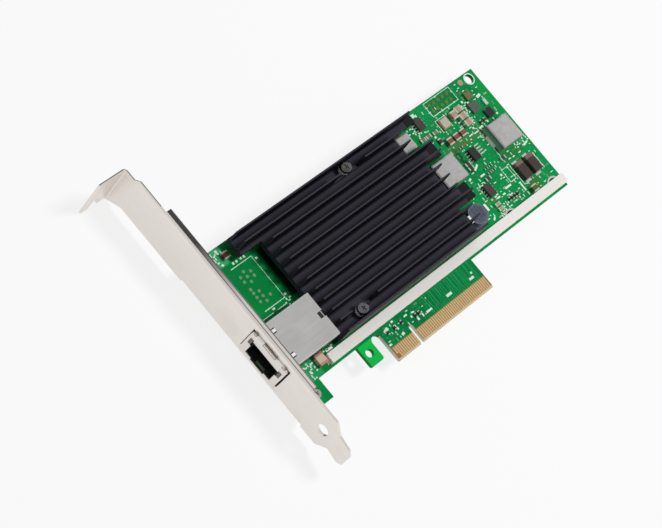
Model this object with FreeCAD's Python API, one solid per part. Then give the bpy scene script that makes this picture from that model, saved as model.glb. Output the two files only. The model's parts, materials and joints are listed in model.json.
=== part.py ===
import FreeCAD, Part
import math
import os

V = FreeCAD.Vector

# Network adapter card with one copper port. Driving dimensions, in millimetres.
# X runs along the card away from the bracket, Y up the board from the edge connector,
# Z out of the component side. The origin is on the centre line of the connector key,
# at the tongue's lower edge, on the component face of the board.

# Circuit board
board_thickness = 1.57
board_height = 68.9
board_far_end = 97.9
board_low_edge = 12.5
board_to_bracket = 0.3
leg_low = 4.5
leg_end = -43.4
lug_width = 6.4
lug_corner_radius = 0.9
lug_low = 4.1
lug_hole_inset = 2.8
lug_hole_height = 4.5
lug_hole_radius = 1.6
hook_notch_width = 4.4
corner_hole_inset_x = 3.9
corner_hole_inset_y = 2.8
corner_hole_radius = 1.9

# Edge connector tongue
contact_pitch = 1.0
contact_width = 0.7
contact_thickness = 0.05
contact_low = 0.9
contact_high = 5.1
short_contact_cut = 1.6
contacts_before_key = 11
contacts_after_key = 38
front_short_contacts = (10,)
back_short_contacts = (16, 30, 47)
key_width = 1.9
key_height = 7.6
key_to_contact = 0.55
tongue_margin = 1.1
bevel_height = 0.8
bevel_depth = 0.4

# Network jack
port_width = 12.0
port_height = 6.9
port_low = 1.3
port_depth = 14.0
roof_over_port = 3.1
latch_width = 6.2
latch_depth = 0.85
jack_y = 28.3
jack_length = 27.6
jack_overhang = 1.4
shield_sheet = 0.4
shield_radius = 0.7
window_gap = 0.2
piece_gap = 0.05
light_width = 1.6
light_height = 3.4
light_drop = 2.0
light_gap = 0.35
light_margin = 0.55
light_depth = 9.0
wire_count = 8
wire_pitch = 1.016
wire_width = 0.45
wire_root = 1.0
wire_thickness = 0.35
wire_front = 2.2
wire_length = 8.0
wire_drop = 2.4
finger_width = 3.4
finger_length = 5.5
finger_rise = 0.3
finger_front = 0.6
finger_bow = 2.0
roof_finger_spacing = 10.3
side_finger_height = 6.2
lance_length = 2.0
lance_width = 1.9
lance_gap = 0.35
rear_notch_width = 2.4
rear_notch_depth = 2.4
rear_notch_drop = 0.8
pin_side = 0.5
pin_length = 1.0
pins_per_row = 6
pin_pitch = 2.03
pin_row_step = 2.54
pin_setback = 9.0
shield_leg_width = 1.6
shield_leg_setback = 15.0

# Bracket sheet
bracket_face = -58.7
bracket_sheet = 1.0
bracket_tip = -14.8
bracket_height = 121.2
bend_radius = 0.5
port_gap = 0.42
flange_clearance = 1.92
flange_depth = 3.2
front_flange_low = 10.0
front_flange_high = 86.0
shoulder_y = -3.5
tongue_width = 10.19
tongue_jog = 1.0
tongue_chamfer = 1.8
tab_neck = 7.4
tab_depth = 11.43
tab_inset = 2.2
tab_flare = 3.8
tab_flare_radius = 3.0
screw_notch_width = 4.42
screw_notch_depth = 6.4
screw_notch_centre = 6.2
tooling_hole_y = -2.1
tooling_hole_radius = 2.4

# Bracket feet under the board and their screws
foot_rise = 1.63
foot_width = 8.0
foot_setback = 0.5
foot_screw_inset = 4.6
foot_bend = 0.5
low_foot_inset = 4.4
high_foot_inset = 6.9
flange_past_foot = 0.9
foot_screw_radius = 1.2
foot_screw_head_radius = 1.9
foot_screw_head_height = 1.1
screw_clearance = 0.15

# Stiffener bar along the lower edge
bar_left = -36.0
bar_offset = 0.9
bar_width = 3.9
bar_height = 2.0
bar_chamfer = 0.6
bar_end_inset = 0.2
bar_hole_radius = 2.1
bar_screw_radius = 1.2
bar_screw_head_lip = 0.6
bar_screw_head_height = 0.8
bar_screw_depth = 1.0
bar_screw_inset = 4.4
bar_screw_spacing = 25.7
surge_to_bar = 0.9
surge_rise = 4.6

# Controller package below the heatsink
package_x = 0.1
package_y = 43.1
package_side = 25.0
substrate_height = 1.3
lid_inset = 2.0
lid_height = 1.05
thermal_pad_height = 0.25

# Heatsink
sink_to_bar = 0.5
sink_edge_inset = 0.6
sink_to_jack = 3.2
step_length = 9.9
step_width = 7.4
heatsink_right = 56.5
toe_length = 4.5
base_height = 2.4
fin_height = 6.8
fin_count = 12
fin_root = 1.2
fin_tip = 0.7
bay_clearance = 0.9
pocket_length = 13.4

# Spring screws that hold the heatsink down
sink_screw_offset = 16.6
sink_screw_shift = 1.4
sink_screw_radius = 1.3
sink_screw_head_height = 1.2
head_past_spring = 0.3
spring_gap = 0.25
spring_wire = 0.5
spring_height = 2.4
spring_turns = 3
spring_steps = 8
spring_end_gap = 0.1
nut_radius = 2.9
nut_height = 2.2
nut_clearance = 0.05

# Power inductors
inductor_length = 11.4
inductor_width = 10.6
inductor_height = 4.2
inductor_edge = 0.5
inductor_y = 42.3
inner_inductor_x = 55.5
outer_inductor_x = 88.0
strap_width = 5.0
strap_reach = 0.9
strap_height = 0.9
strap_sheet = 0.2
filter_side = 6.8
filter_height = 3.7
filter_x = 48.3
filter_y = 59.6

# Drum inductor
drum_x = 52.3
drum_y = 23.7
drum_side = 9.4
drum_corner = 2.1
drum_base_height = 1.0
drum_radius = 4.2
drum_top = 4.2
drum_groove_depth = 0.5
drum_lip = 0.6
clip_width = 3.0
clip_sheet = 0.35
clip_fold = 1.0

# Moulded polymer capacitors
polymer_length = 7.3
polymer_width = 4.3
polymer_height = 1.9
polymer_draft = 0.2
polymer_x = 84.7
polymer_y = 26.8
polymer_pitch = 5.9
polymer_strap_width = 2.4
polymer_strap_sheet = 0.1
polymer_strap_reach = 1.3

# Chips: length over the soldered ends, width and height
large_chip = (3.4, 2.5, 1.9)
brown_chip = (2.8, 2.6, 1.7)
surge_chip = (4.2, 3.6, 1.8)
medium_chip = (2.6, 1.4, 0.8)
small_chip = (1.6, 0.8, 0.6)
end_cap_share = 0.2
end_cap_lip = 0.04

# Eight-lead regulators, flat packages and the oscillator
regulator_width = 3.9
regulator_length = 4.9
regulator_height = 1.5
regulator_stand = 0.15
regulator_draft = 0.25
lead_pitch = 1.27
leads_per_side = 4
lead_width = 0.45
lead_sheet = 0.2
lead_shoulder = 0.4
lead_foot = 0.65
flat_package_height = 0.9
oscillator_side = 4.2
oscillator_base_height = 0.8
oscillator_lid_height = 0.4
oscillator_lid_inset = 0.35

# Places on the board: x, y and whether a chip's soldered ends face along Y
tan_chips = [(78.8, 52.9 + 3.1 * n, False) for n in range(3)] + [(75.7, 58.2, True)]
brown_chips = [(66.5 + 3.65 * n, 51.1, True) for n in range(3)] + [(83.3, 18.9, True), (-41.6, 64.6, True)]
surge_chips = [(bar_left - surge_to_bar - surge_chip[1] / 2, board_low_edge + surge_rise, True)]
power_chips = [(57.6, 57.2, False), (60.6, 57.2, False), (64.2, 57.0, False), (63.4, 53.2, True),
               (65.2, 22.4, False), (65.2, 20.4, False), (92.4, 55.6, True), (81.4, 34.8, False),
               (66.5, 40.6, False), (66.5, 38.8, False), (69.6, 31.9, False)]
bypass_chips = [(72.0 + 2.4 * n, 33.4 + 1.9 * m, False) for n in range(2) for m in range(2)]
sense_chips = [(71.4 + 1.6 * n, 21.2, True) for n in range(4)]
clock_chips = [(84.6 + 2.0 * n, 50.4, True) for n in range(2)] + [(69.2, 47.0, False)]
link_chips = [(-9.4 + 3.6 * n, 10.2, True) for n in range(3)]
link_chips += [(4.6 + 1.7 * n, 9.0, True) for n in range(2)]
regulators = {"upper": (60.6, 63.0), "middle": (71.6, 42.2), "lower": (66.2, 28.2)}
flat_packages = {"large": (86.6, 56.4, 4.2), "right": (90.6, 51.6, 3.6), "corner": (87.8, 61.2, 3.2)}
oscillator_place = (70.6, 57.8)

# Values that follow from the sizes above
board_back = -board_thickness
bracket_inside = bracket_face + bracket_sheet
bracket_top = bracket_tip + bracket_height
board_near_end = bracket_inside + board_to_bracket

first_contact = key_width / 2 + key_to_contact
tongue_left = -first_contact - (contacts_before_key - 1) * contact_pitch - tongue_margin
tongue_right = first_contact + (contacts_after_key - 1) * contact_pitch + tongue_margin
lug_right = tongue_left - hook_notch_width
lug_left = lug_right - lug_width

jack_cheek = light_gap + light_width + light_margin + shield_sheet
jack_half = port_width / 2 + jack_cheek
port_high = port_low + port_height
jack_height = port_high + roof_over_port
jack_front = bracket_face - jack_overhang
jack_back = jack_front + jack_length
light_high = jack_height - light_drop
light_low = light_high - light_height
light_offset = port_width / 2 + light_gap + light_width / 2
light_centres = [jack_y - light_offset, jack_y + light_offset]

foot_seat = board_back - bracket_sheet
bracket_low_side = foot_seat - foot_rise
bracket_high_side = jack_height + flange_clearance + bracket_sheet
bracket_middle = (bracket_low_side + bracket_high_side) / 2
bracket_shoulder = (bracket_high_side - bracket_low_side - tongue_width) / 2
outer_bend = bend_radius + bracket_sheet
tab_low_side = bracket_low_side - tab_flare
tab_high_side = bracket_high_side - tab_inset
foot_end = leg_end - foot_setback
foot_screw_x = foot_end - foot_screw_inset
foot_places = [leg_low + low_foot_inset, board_height - high_foot_inset]
rear_flange_low = foot_places[0] - foot_width / 2 - flange_past_foot
rear_flange_high = foot_places[1] + foot_width / 2 + flange_past_foot

bar_low = board_low_edge + bar_offset
bar_high = bar_low + bar_width
bar_middle = (bar_low + bar_high) / 2
bar_right = board_far_end - bar_end_inset
bar_screws = [bar_right - bar_screw_inset - bar_screw_spacing * n for n in range(2)]

lid_side = package_side - 2 * lid_inset
lid_top = substrate_height + lid_height
base_low = lid_top + thermal_pad_height
base_high = base_low + base_height
fin_top = base_high + fin_height
heatsink_low = bar_high + sink_to_bar
heatsink_high = board_height - sink_edge_inset
heatsink_left = jack_back + sink_to_jack
step_left = heatsink_left - step_length
step_low = heatsink_high - step_width
fin_right = heatsink_right - toe_length
fin_pitch = (heatsink_high - heatsink_low - fin_root) / (fin_count - 1)
fins = [heatsink_low + fin_root / 2 + fin_pitch * n for n in range(fin_count)]
sink_screws = [(package_x - sink_screw_offset, fins[1] - sink_screw_shift),
               (package_x + sink_screw_offset, fins[-2] + sink_screw_shift)]
spring_radius = sink_screw_radius + spring_gap + spring_wire / 2
sink_screw_head_radius = spring_radius + spring_wire / 2 + head_past_spring


def box(x0, x1, y0, y1, z0, z1):
    return Part.makeBox(x1 - x0, y1 - y0, z1 - z0, V(x0, y0, z0))


def block(x, y, dx, dy, z0, z1):
    return box(x - dx / 2, x + dx / 2, y - dy / 2, y + dy / 2, z0, z1)


def post(x, y, z0, z1, radius):
    return Part.makeCylinder(radius, z1 - z0, V(x, y, z0))


def rounded_wire(corners):
    """Closed outline through corners given as (point, radius)."""
    count = len(corners)
    starts, middles, ends = [], [], []
    for n, (point, radius) in enumerate(corners):
        before = (corners[n - 1][0] - point).normalize()
        after = (corners[(n + 1) % count][0] - point).normalize()
        half = before.getAngle(after) / 2
        reach = radius / math.tan(half)
        bisector = (before + after).normalize() if radius else V()
        starts.append(point + before * reach)
        ends.append(point + after * reach)
        middles.append(point + bisector * (radius / math.sin(half) - radius))
    edges = []
    for n in range(count):
        if corners[n][1]:
            edges.append(Part.Arc(starts[n], middles[n], ends[n]).toShape())
        following = starts[(n + 1) % count]
        if (following - ends[n]).Length > 1e-6:
            edges.append(Part.LineSegment(ends[n], following).toShape())
    return Part.Wire(edges)


def prism(corners, place, travel):
    """Outline of (a, b) or (a, b, radius) corners, set by place and pushed along travel."""
    outline = [(place(*corner[:2]), corner[2] if len(corner) > 2 else 0) for corner in corners]
    return Part.Face(rounded_wire(outline)).extrude(travel)


def prism_x(corners, x0, x1):
    return prism(corners, lambda y, z: V(x0, y, z), V(x1 - x0, 0, 0))


def prism_y(corners, y0, y1):
    return prism(corners, lambda x, z: V(x, y0, z), V(0, y1 - y0, 0))


def prism_z(corners, z0, z1):
    return prism(corners, lambda x, y: V(x, y, z0), V(0, 0, z1 - z0))


def turned(profile, x, y):
    """Solid of revolution about a vertical axis, from (radius, z) corners."""
    points = [V(x + radius, y, z) for radius, z in profile]
    return Part.Face(Part.makePolygon(points + points[:1])).revolve(V(x, y, 0), V(0, 0, 1), 360)


def join(shapes):
    return shapes[0].multiFuse(shapes[1:]).removeSplitter()


def circuit_board():
    notch_radius = hook_notch_width / 2 - piece_gap
    outline = [(board_near_end, leg_low), (leg_end, leg_low), (leg_end, board_low_edge),
               (lug_left, board_low_edge), (lug_left, lug_low, lug_corner_radius),
               (lug_right, lug_low, lug_corner_radius), (lug_right, board_low_edge, notch_radius),
               (tongue_left, board_low_edge, notch_radius), (tongue_left, 0), (tongue_right, 0),
               (tongue_right, board_low_edge), (board_far_end, board_low_edge),
               (board_far_end, board_height), (board_near_end, board_height)]
    key_radius = key_width / 2
    key_top = key_height - key_radius
    holes = [(0, key_top, key_radius),
             (lug_left + lug_hole_inset, lug_low + lug_hole_height, lug_hole_radius),
             (board_far_end - corner_hole_inset_x, board_height - corner_hole_inset_y, corner_hole_radius)]
    holes += [(x, bar_middle, bar_hole_radius) for x in bar_screws]
    holes += [(foot_screw_x, y, foot_screw_radius + screw_clearance) for y in foot_places]
    holes += [(x, y, sink_screw_radius + screw_clearance) for x, y in sink_screws]
    cuts = [post(x, y, board_back, 0, radius) for x, y, radius in holes]
    cuts.append(box(-key_radius, key_radius, 0, key_top, board_back, 0))
    for face, inner in ((0, -bevel_depth), (board_back, board_back + bevel_depth)):
        cuts.append(prism_x([(0, face), (bevel_height, face), (0, inner)], tongue_left, tongue_right))
    return prism_z(outline, board_back, 0).cut(cuts).removeSplitter()


def edge_contacts(z0, short_ones):
    """One gold finger per place. The presence contacts start higher up than the others."""
    places = [-first_contact - contact_pitch * n for n in range(contacts_before_key)]
    places += [first_contact + contact_pitch * n for n in range(contacts_after_key)]
    fingers = []
    for number, x in enumerate(places):
        low = contact_low + (short_contact_cut if number in short_ones else 0)
        middle = (low + contact_high) / 2
        fingers.append(block(x, middle, contact_width, contact_high - low, z0, z0 + contact_thickness))
    return Part.makeCompound(fingers)


def bracket_blade():
    root_y = shoulder_y - bracket_shoulder
    bend_y = bracket_top - outer_bend
    neck_y = bracket_top - tab_neck
    low, high = bracket_low_side, bracket_high_side
    outline = [(root_y, bracket_middle - tongue_width / 2), (shoulder_y, low), (rear_flange_low, low),
               (rear_flange_low, low + outer_bend), (rear_flange_high, low + outer_bend),
               (rear_flange_high, low), (neck_y, low, tab_flare_radius), (bend_y, tab_low_side),
               (bend_y, tab_high_side), (neck_y + tab_inset, tab_high_side), (neck_y, high),
               (front_flange_high, high), (front_flange_high, high - outer_bend),
               (front_flange_low, high - outer_bend), (front_flange_low, high), (shoulder_y, high),
               (root_y, bracket_middle + tongue_width / 2)]
    return prism_x(outline, bracket_face, bracket_inside)


def bracket_flange(low, high, side, inward):
    """Folded edge: a quarter bend out of the blade and a flat lip."""
    lip = side + inward * bracket_sheet
    root = side + inward * outer_bend
    end = bracket_face + flange_depth
    profile = [(bracket_face, root), (bracket_face, side, outer_bend), (end, side), (end, lip),
               (bracket_inside, lip, bend_radius), (bracket_inside, root)]
    return prism_y(profile, low, high)


def bracket_lower_tongue():
    root_y = shoulder_y - bracket_shoulder
    side = [(bracket_inside, root_y), (bracket_face, root_y), (bracket_face - tongue_jog, bracket_tip),
            (bracket_inside - tongue_jog, bracket_tip)]
    low = bracket_middle - tongue_width / 2
    high = bracket_middle + tongue_width / 2
    corners = []
    for z, inward in ((low, 1), (high, -1)):
        corner = [(bracket_tip, z), (bracket_tip, z + inward * tongue_chamfer),
                  (bracket_tip + tongue_chamfer, z)]
        corners.append(prism_x(corner, bracket_face - tongue_jog, bracket_inside))
    return prism_z(side, low, high).cut(corners)


def bracket_tab():
    """Top tab, bent out over the chassis rail, with its screw notch open to the solder side."""
    bend_y = bracket_top - outer_bend
    under = bracket_top - bracket_sheet
    end = bracket_face - tab_depth
    profile = [(bracket_inside, bend_y), (bracket_inside, bracket_top, outer_bend), (end, bracket_top),
               (end, under), (bracket_face, under, bend_radius), (bracket_face, bend_y)]
    half = screw_notch_width / 2
    notch_x = bracket_face - screw_notch_centre
    arc_z = tab_low_side + screw_notch_depth - half
    notch = [Part.makeCylinder(half, bracket_sheet, V(notch_x, under, arc_z), V(0, 1, 0)),
             box(notch_x - half, notch_x + half, under, bracket_top, tab_low_side, arc_z)]
    return prism_z(profile, tab_low_side, tab_high_side).cut(notch)


def bracket_foot(y):
    """Strip from the rear flange, jogged up to the solder side of the board."""
    start = bracket_face + flange_depth
    flange_top = bracket_low_side + bracket_sheet
    profile = [(start, bracket_low_side), (start, flange_top), (start + foot_bend, flange_top),
               (start + foot_bend + foot_rise, board_back), (foot_end, board_back), (foot_end, foot_seat),
               (start + 2 * foot_bend + foot_rise, foot_seat), (start + 2 * foot_bend, bracket_low_side)]
    foot = prism_y(profile, y - foot_width / 2, y + foot_width / 2)
    return foot.cut(post(foot_screw_x, y, foot_seat, board_back, foot_screw_radius + screw_clearance))


def bracket():
    sheet = join([bracket_blade(), bracket_lower_tongue(), bracket_tab(),
                  bracket_flange(front_flange_low, front_flange_high, bracket_high_side, -1),
                  bracket_flange(rear_flange_low, rear_flange_high, bracket_low_side, 1)]
                 + [bracket_foot(y) for y in foot_places])
    half = jack_half + port_gap
    outline = [(jack_y - half, -port_gap), (jack_y - half, jack_height + port_gap),
               (jack_y + half, jack_height + port_gap), (jack_y + half, -port_gap)]
    port = prism_x(outline, bracket_face, bracket_inside)
    hole = Part.makeCylinder(tooling_hole_radius, bracket_sheet,
                             V(bracket_face, tooling_hole_y, bracket_middle), V(1, 0, 0))
    return sheet.cut([port, hole]).removeSplitter()


def foot_screw(y):
    head, top = foot_screw_head_radius, foot_screw_head_height
    profile = [(0, foot_seat), (foot_screw_radius, foot_seat), (foot_screw_radius, 0), (head, 0),
               (head, top), (0, top)]
    return turned(profile, foot_screw_x, y)


def stiffener_bar():
    cut = bar_chamfer
    outline = [(bar_left, bar_low), (bar_right - cut, bar_low), (bar_right, bar_low + cut),
               (bar_right, bar_high - cut), (bar_right - cut, bar_high), (bar_left, bar_high)]
    holes = [post(x, bar_middle, 0, bar_screw_depth, bar_screw_radius) for x in bar_screws]
    return prism_z(outline, 0, bar_height).cut(holes)


def stiffener_screw(x):
    """Screw from the solder side into the bar, its head wider than the hole in the board."""
    head = bar_hole_radius + bar_screw_head_lip
    low = board_back - bar_screw_head_height
    profile = [(0, low), (head, low), (head, board_back), (bar_screw_radius, board_back),
               (bar_screw_radius, bar_screw_depth), (0, bar_screw_depth)]
    return turned(profile, x, bar_middle)


def heatsink_profile():
    """Comb section across the fins, as the extrusion die has it."""
    corners = [(heatsink_low, base_low)]
    for y in fins:
        corners += [(y - fin_root / 2, base_high), (y - fin_tip / 2, fin_top),
                    (y + fin_tip / 2, fin_top), (y + fin_root / 2, base_high)]
    return corners + [(heatsink_high, base_low)]


def heatsink_bay(x, y, length, width):
    """Cut from the far end that clears a tall piece on the board and ends each fin that it meets."""
    left = x - length / 2 - bay_clearance
    half = width / 2 + bay_clearance
    cuts = [box(left, heatsink_right, y - half, y + half, base_low, fin_top)]
    reach = fin_root / 2
    for fin in fins:
        if abs(fin - y) < half + reach:
            cuts.append(box(left, heatsink_right, fin - reach, fin + reach, base_high, fin_top))
    return cuts


def screw_pocket(x, y):
    """Gap in one fin round a screw, and the screw's hole through the base."""
    fin = min(fins, key=lambda place: abs(place - y))
    half = fin_pitch - fin_root / 2
    return [box(x - pocket_length / 2, x + pocket_length / 2, fin - half, fin + half, base_high, fin_top),
            post(x, y, base_low, base_high, sink_screw_radius + screw_clearance)]


def heatsink():
    body = prism_x(heatsink_profile(), step_left, heatsink_right)
    drum_left = drum_x - drum_side / 2 - bay_clearance
    cuts = [box(step_left, heatsink_left, heatsink_low, step_low, base_low, fin_top),
            box(fin_right, heatsink_right, heatsink_low, heatsink_high, base_high, fin_top),
            box(drum_left, heatsink_right, heatsink_low, drum_y, base_low, fin_top)]
    cuts += heatsink_bay(inner_inductor_x, inductor_y, inductor_length + 2 * strap_reach, inductor_width)
    cuts += heatsink_bay(filter_x, filter_y, filter_side, filter_side)
    cuts += heatsink_bay(drum_x, drum_y, drum_side, drum_side)
    for x, y in sink_screws:
        cuts += screw_pocket(x, y)
    return body.cut(cuts).removeSplitter()


def heatsink_screw(x, y):
    """Shoulder screw that its spring holds off the floor between the fins."""
    under = base_high + spring_height
    top = under + sink_screw_head_height
    tip = board_back - nut_height
    head = sink_screw_head_radius
    profile = [(0, tip), (sink_screw_radius, tip), (sink_screw_radius, under), (head, under),
               (head, top), (0, top)]
    return turned(profile, x, y)


def heatsink_spring(x, y):
    """Coil of square wire between the floor and the underside of the screw head."""
    half = spring_wire / 2
    rise = spring_height - spring_wire - 2 * spring_end_gap
    low = base_high + half + spring_end_gap
    count = spring_turns * spring_steps
    path = []
    for n in range(count + 1):
        turn = 2 * math.pi * n / spring_steps
        path.append(V(x + spring_radius * math.cos(turn), y + spring_radius * math.sin(turn),
                      low + rise * n / count))
    near, far = x + spring_radius - half, x + spring_radius + half
    section = [V(near, y, low - half), V(far, y, low - half), V(far, y, low + half), V(near, y, low + half)]
    mitred = 1
    wire = Part.makePolygon(section + section[:1])
    return Part.makePolygon(path).makePipeShell([wire], True, True, mitred)


def heatsink_nut(x, y):
    turns = [math.radians(60 * n) for n in range(6)]
    corners = [(x + nut_radius * math.cos(turn), y + nut_radius * math.sin(turn)) for turn in turns]
    low = board_back - nut_height
    bore = post(x, y, low, board_back, sink_screw_radius + nut_clearance)
    return prism_z(corners, low, board_back).cut(bore)


def port_outline(gap):
    """Socket outline seen from the front: a wide opening with the latch notch below it."""
    half = port_width / 2 + gap
    latch = latch_width / 2 + gap
    low = port_low - gap
    notch = low - latch_depth
    return [(jack_y - half, low), (jack_y - latch, low), (jack_y - latch, notch), (jack_y + latch, notch),
            (jack_y + latch, low), (jack_y + half, low), (jack_y + half, port_high + gap),
            (jack_y - half, port_high + gap)]


def finger_profile(surface, outward):
    """Side view of a bowed spring finger that rises from a wall of the shield to the bracket's edge."""
    start = jack_front + finger_front
    end = start + finger_length
    inside = surface - outward * shield_sheet
    crest = bracket_face + bracket_sheet / 2
    return [(start, inside), (start, surface), (crest, surface + outward * finger_rise, finger_bow),
            (end, surface), (end, inside)]


def shield_fingers():
    """Spring fingers on the roof and on both sides, which touch the bracket's cutout."""
    half = finger_width / 2
    fingers = []
    for side in (-1, 1):
        y = jack_y + side * roof_finger_spacing / 2
        fingers.append(prism_y(finger_profile(jack_height, 1), y - half, y + half))
        profile = finger_profile(jack_y + side * jack_half, side)
        fingers.append(prism_z(profile, side_finger_height - half, side_finger_height + half))
    return fingers


def lance_slots():
    """Slots behind the fingers, bent round a small tab that stays on at its far edge."""
    start = jack_front + finger_front + finger_length
    end = start + lance_length
    half = lance_width / 2
    tab = half - lance_gap
    slots = []
    for side in (-1, 1):
        y = jack_y + side * roof_finger_spacing / 2
        under = jack_height - shield_sheet
        slot = box(start, end, y - half, y + half, under, jack_height)
        slots.append(slot.cut(box(start + lance_gap, end, y - tab, y + tab, under, jack_height)))
        outside = jack_y + side * jack_half
        near, far = sorted((outside, outside - side * shield_sheet))
        z = side_finger_height
        slot = box(start, end, near, far, z - half, z + half)
        slots.append(slot.cut(box(start + lance_gap, end, near, far, z - tab, z + tab)))
    return slots


def jack_shield():
    """Folded can, open below, with windows for the socket and the two lights."""
    wall = shield_sheet
    can = prism_x([(jack_y - jack_half, 0), (jack_y - jack_half, jack_height, shield_radius),
                   (jack_y + jack_half, jack_height, shield_radius), (jack_y + jack_half, 0)],
                  jack_front, jack_back)
    inner = jack_half - wall
    cuts = [box(jack_front + wall, jack_back - wall, jack_y - inner, jack_y + inner, 0, jack_height - wall),
            prism_x(port_outline(window_gap), jack_front, jack_front + wall),
            block(jack_back - rear_notch_depth / 2, jack_y, rear_notch_depth, rear_notch_width,
                  jack_height - rear_notch_drop, jack_height)]
    for y in light_centres:
        cuts.append(box(jack_front, jack_front + wall, y - light_width / 2, y + light_width / 2,
                        light_low, light_high))
    return join([can.cut(cuts + lance_slots())] + shield_fingers())


def jack_housing():
    """Moulded insert with the socket, the latch notch and the two light channels."""
    half = jack_half - shield_sheet - piece_gap
    front = jack_front + shield_sheet
    back = jack_back - shield_sheet - piece_gap
    roof = jack_height - rear_notch_drop - piece_gap
    cuts = [prism_x(port_outline(0), front, front + port_depth)]
    for y in light_centres:
        reach = light_width / 2 + piece_gap
        cuts.append(box(front, front + light_depth + piece_gap, y - reach, y + reach,
                        light_low - piece_gap, light_high + piece_gap))
    return box(front, back, jack_y - half, jack_y + half, 0, roof).cut(cuts).removeSplitter()


def jack_contacts():
    """Spring wires that hang from the roof of the socket."""
    start = jack_front + wire_front
    end = start + wire_length
    tip = port_high - wire_drop
    profile = [(start, port_high), (start + wire_root, port_high), (end, tip + wire_thickness), (end, tip)]
    wires = []
    for n in range(wire_count):
        y = jack_y + wire_pitch * (n - (wire_count - 1) / 2)
        wires.append(prism_y(profile, y - wire_width / 2, y + wire_width / 2))
    return Part.makeCompound(wires)


def jack_light_pipes():
    end = jack_front + shield_sheet + light_depth
    half = light_width / 2 - piece_gap
    return Part.makeCompound([box(jack_front, end, y - half, y + half, light_low + piece_gap,
                                  light_high - piece_gap) for y in light_centres])


def jack_pins():
    """Ends of the jack's pins and of its two shield legs below the board."""
    low = board_back - pin_length
    pins = []
    for row in range(2):
        x = jack_front + pin_setback + pin_row_step * row
        for n in range(pins_per_row):
            y = jack_y + pin_pitch * (n - pins_per_row / 2 + (row + 1) / 2 - 1 / 4)
            pins.append(block(x, y, pin_side, pin_side, low, board_back))
    for side in (-1, 1):
        y = jack_y + side * (jack_half - shield_sheet / 2)
        pins.append(block(jack_front + shield_leg_setback, y, shield_leg_width, shield_sheet,
                          low, board_back))
    return Part.makeCompound(pins)


def pressed_core(x, y, length, width, height):
    """Pressed inductor body with its upper edges chamfered."""
    core = block(x, y, length, width, 0, height)
    top = [edge for edge in core.Edges if abs(edge.CenterOfMass.z - height) < 1e-6]
    return core.makeChamfer(inductor_edge, top)


def inductor_straps(x):
    """Soldered straps bent up both ends of a power inductor."""
    straps = []
    for side in (-1, 1):
        wall = x + side * inductor_length / 2
        profile = [(wall, 0), (wall + side * strap_reach, 0), (wall + side * strap_reach, strap_sheet),
                   (wall + side * strap_sheet, strap_sheet), (wall + side * strap_sheet, strap_height),
                   (wall, strap_height)]
        straps.append(prism_y(profile, inductor_y - strap_width / 2, inductor_y + strap_width / 2))
    return straps


def drum_inductor_base():
    half = drum_side / 2
    near = half - drum_corner
    corners = [(-half, -near), (-near, -half), (near, -half), (half, -near),
               (half, near), (near, half), (-near, half), (-half, near)]
    return prism_z([(drum_x + x, drum_y + y) for x, y in corners], 0, drum_base_height)


def drum_inductor_core():
    """Spool with a wound groove between its two flanges."""
    rim, groove, lip = drum_radius, drum_radius - drum_groove_depth, drum_lip
    profile = [(0, drum_base_height), (rim, drum_base_height), (rim, drum_base_height + lip),
               (groove, drum_base_height + lip), (groove, drum_top - lip), (rim, drum_top - lip),
               (rim, drum_top), (0, drum_top)]
    return turned(profile, drum_x, drum_y)


def drum_inductor_clips():
    """Metal ends that stand on both sides of the base and fold over the rim of the spool."""
    clips = []
    for side in (-1, 1):
        wall = drum_x + side * drum_side / 2
        outside = wall + side * clip_sheet
        tip = outside - side * clip_fold
        top = drum_top + clip_sheet
        profile = [(wall, 0), (outside, 0), (outside, top), (tip, top), (tip, drum_top), (wall, drum_top)]
        clips.append(prism_y(profile, drum_y - clip_width / 2, drum_y + clip_width / 2))
    return Part.makeCompound(clips)


def moulded_body(x, y, width, length, low, high, draft):
    """Moulded package whose long sides lean in above and below the mould line."""
    half = width / 2
    middle = high / 2
    section = [(x - half + draft, low), (x - half, middle), (x - half + draft, high),
               (x + half - draft, high), (x + half, middle), (x + half - draft, low)]
    return prism_y(section, y - length / 2, y + length / 2)


def polymer_straps(x):
    """Tinned straps below and up both ends of a polymer capacitor."""
    straps = []
    for side in (-1, 1):
        end = polymer_y + side * polymer_length / 2
        outside = end + side * polymer_strap_sheet
        inside = end - side * polymer_strap_reach
        profile = [(inside, 0), (outside, 0), (outside, polymer_height / 2), (end, polymer_height / 2),
                   (end, polymer_strap_sheet), (inside, polymer_strap_sheet)]
        straps.append(prism_x(profile, x - polymer_strap_width / 2, x + polymer_strap_width / 2))
    return straps


def chip_body(place, size):
    x, y, along_y = place
    length, width, height = size
    middle = length * (1 - 2 * end_cap_share)
    if along_y:
        return block(x, y, width, middle, 0, height)
    return block(x, y, middle, width, 0, height)


def chip_end_caps(place, size):
    """Tinned ends of a chip, a little prouder than its body."""
    x, y, along_y = place
    length, width, height = size
    cap = length * end_cap_share
    wide = width + 2 * end_cap_lip
    top = height + end_cap_lip
    caps = []
    for side in (-1, 1):
        offset = side * (length - cap) / 2
        if along_y:
            caps.append(block(x, y + offset, wide, cap, 0, top))
        else:
            caps.append(block(x + offset, y, cap, wide, 0, top))
    return caps


def regulator_leads(x, y):
    """Gull-wing leads along both sides of a regulator."""
    leads = []
    high = regulator_height / 2
    low = high - lead_sheet
    for side in (-1, 1):
        wall = x + side * regulator_width / 2
        knee = wall + side * lead_shoulder
        toe = knee + side * lead_foot
        profile = [(wall, high), (knee, high), (knee + side * lead_sheet, lead_sheet), (toe, lead_sheet),
                   (toe, 0), (knee, 0), (knee - side * lead_sheet, low), (wall, low)]
        for n in range(leads_per_side):
            place = y + lead_pitch * (n - (leads_per_side - 1) / 2)
            leads.append(prism_y(profile, place - lead_width / 2, place + lead_width / 2))
    return leads


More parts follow.
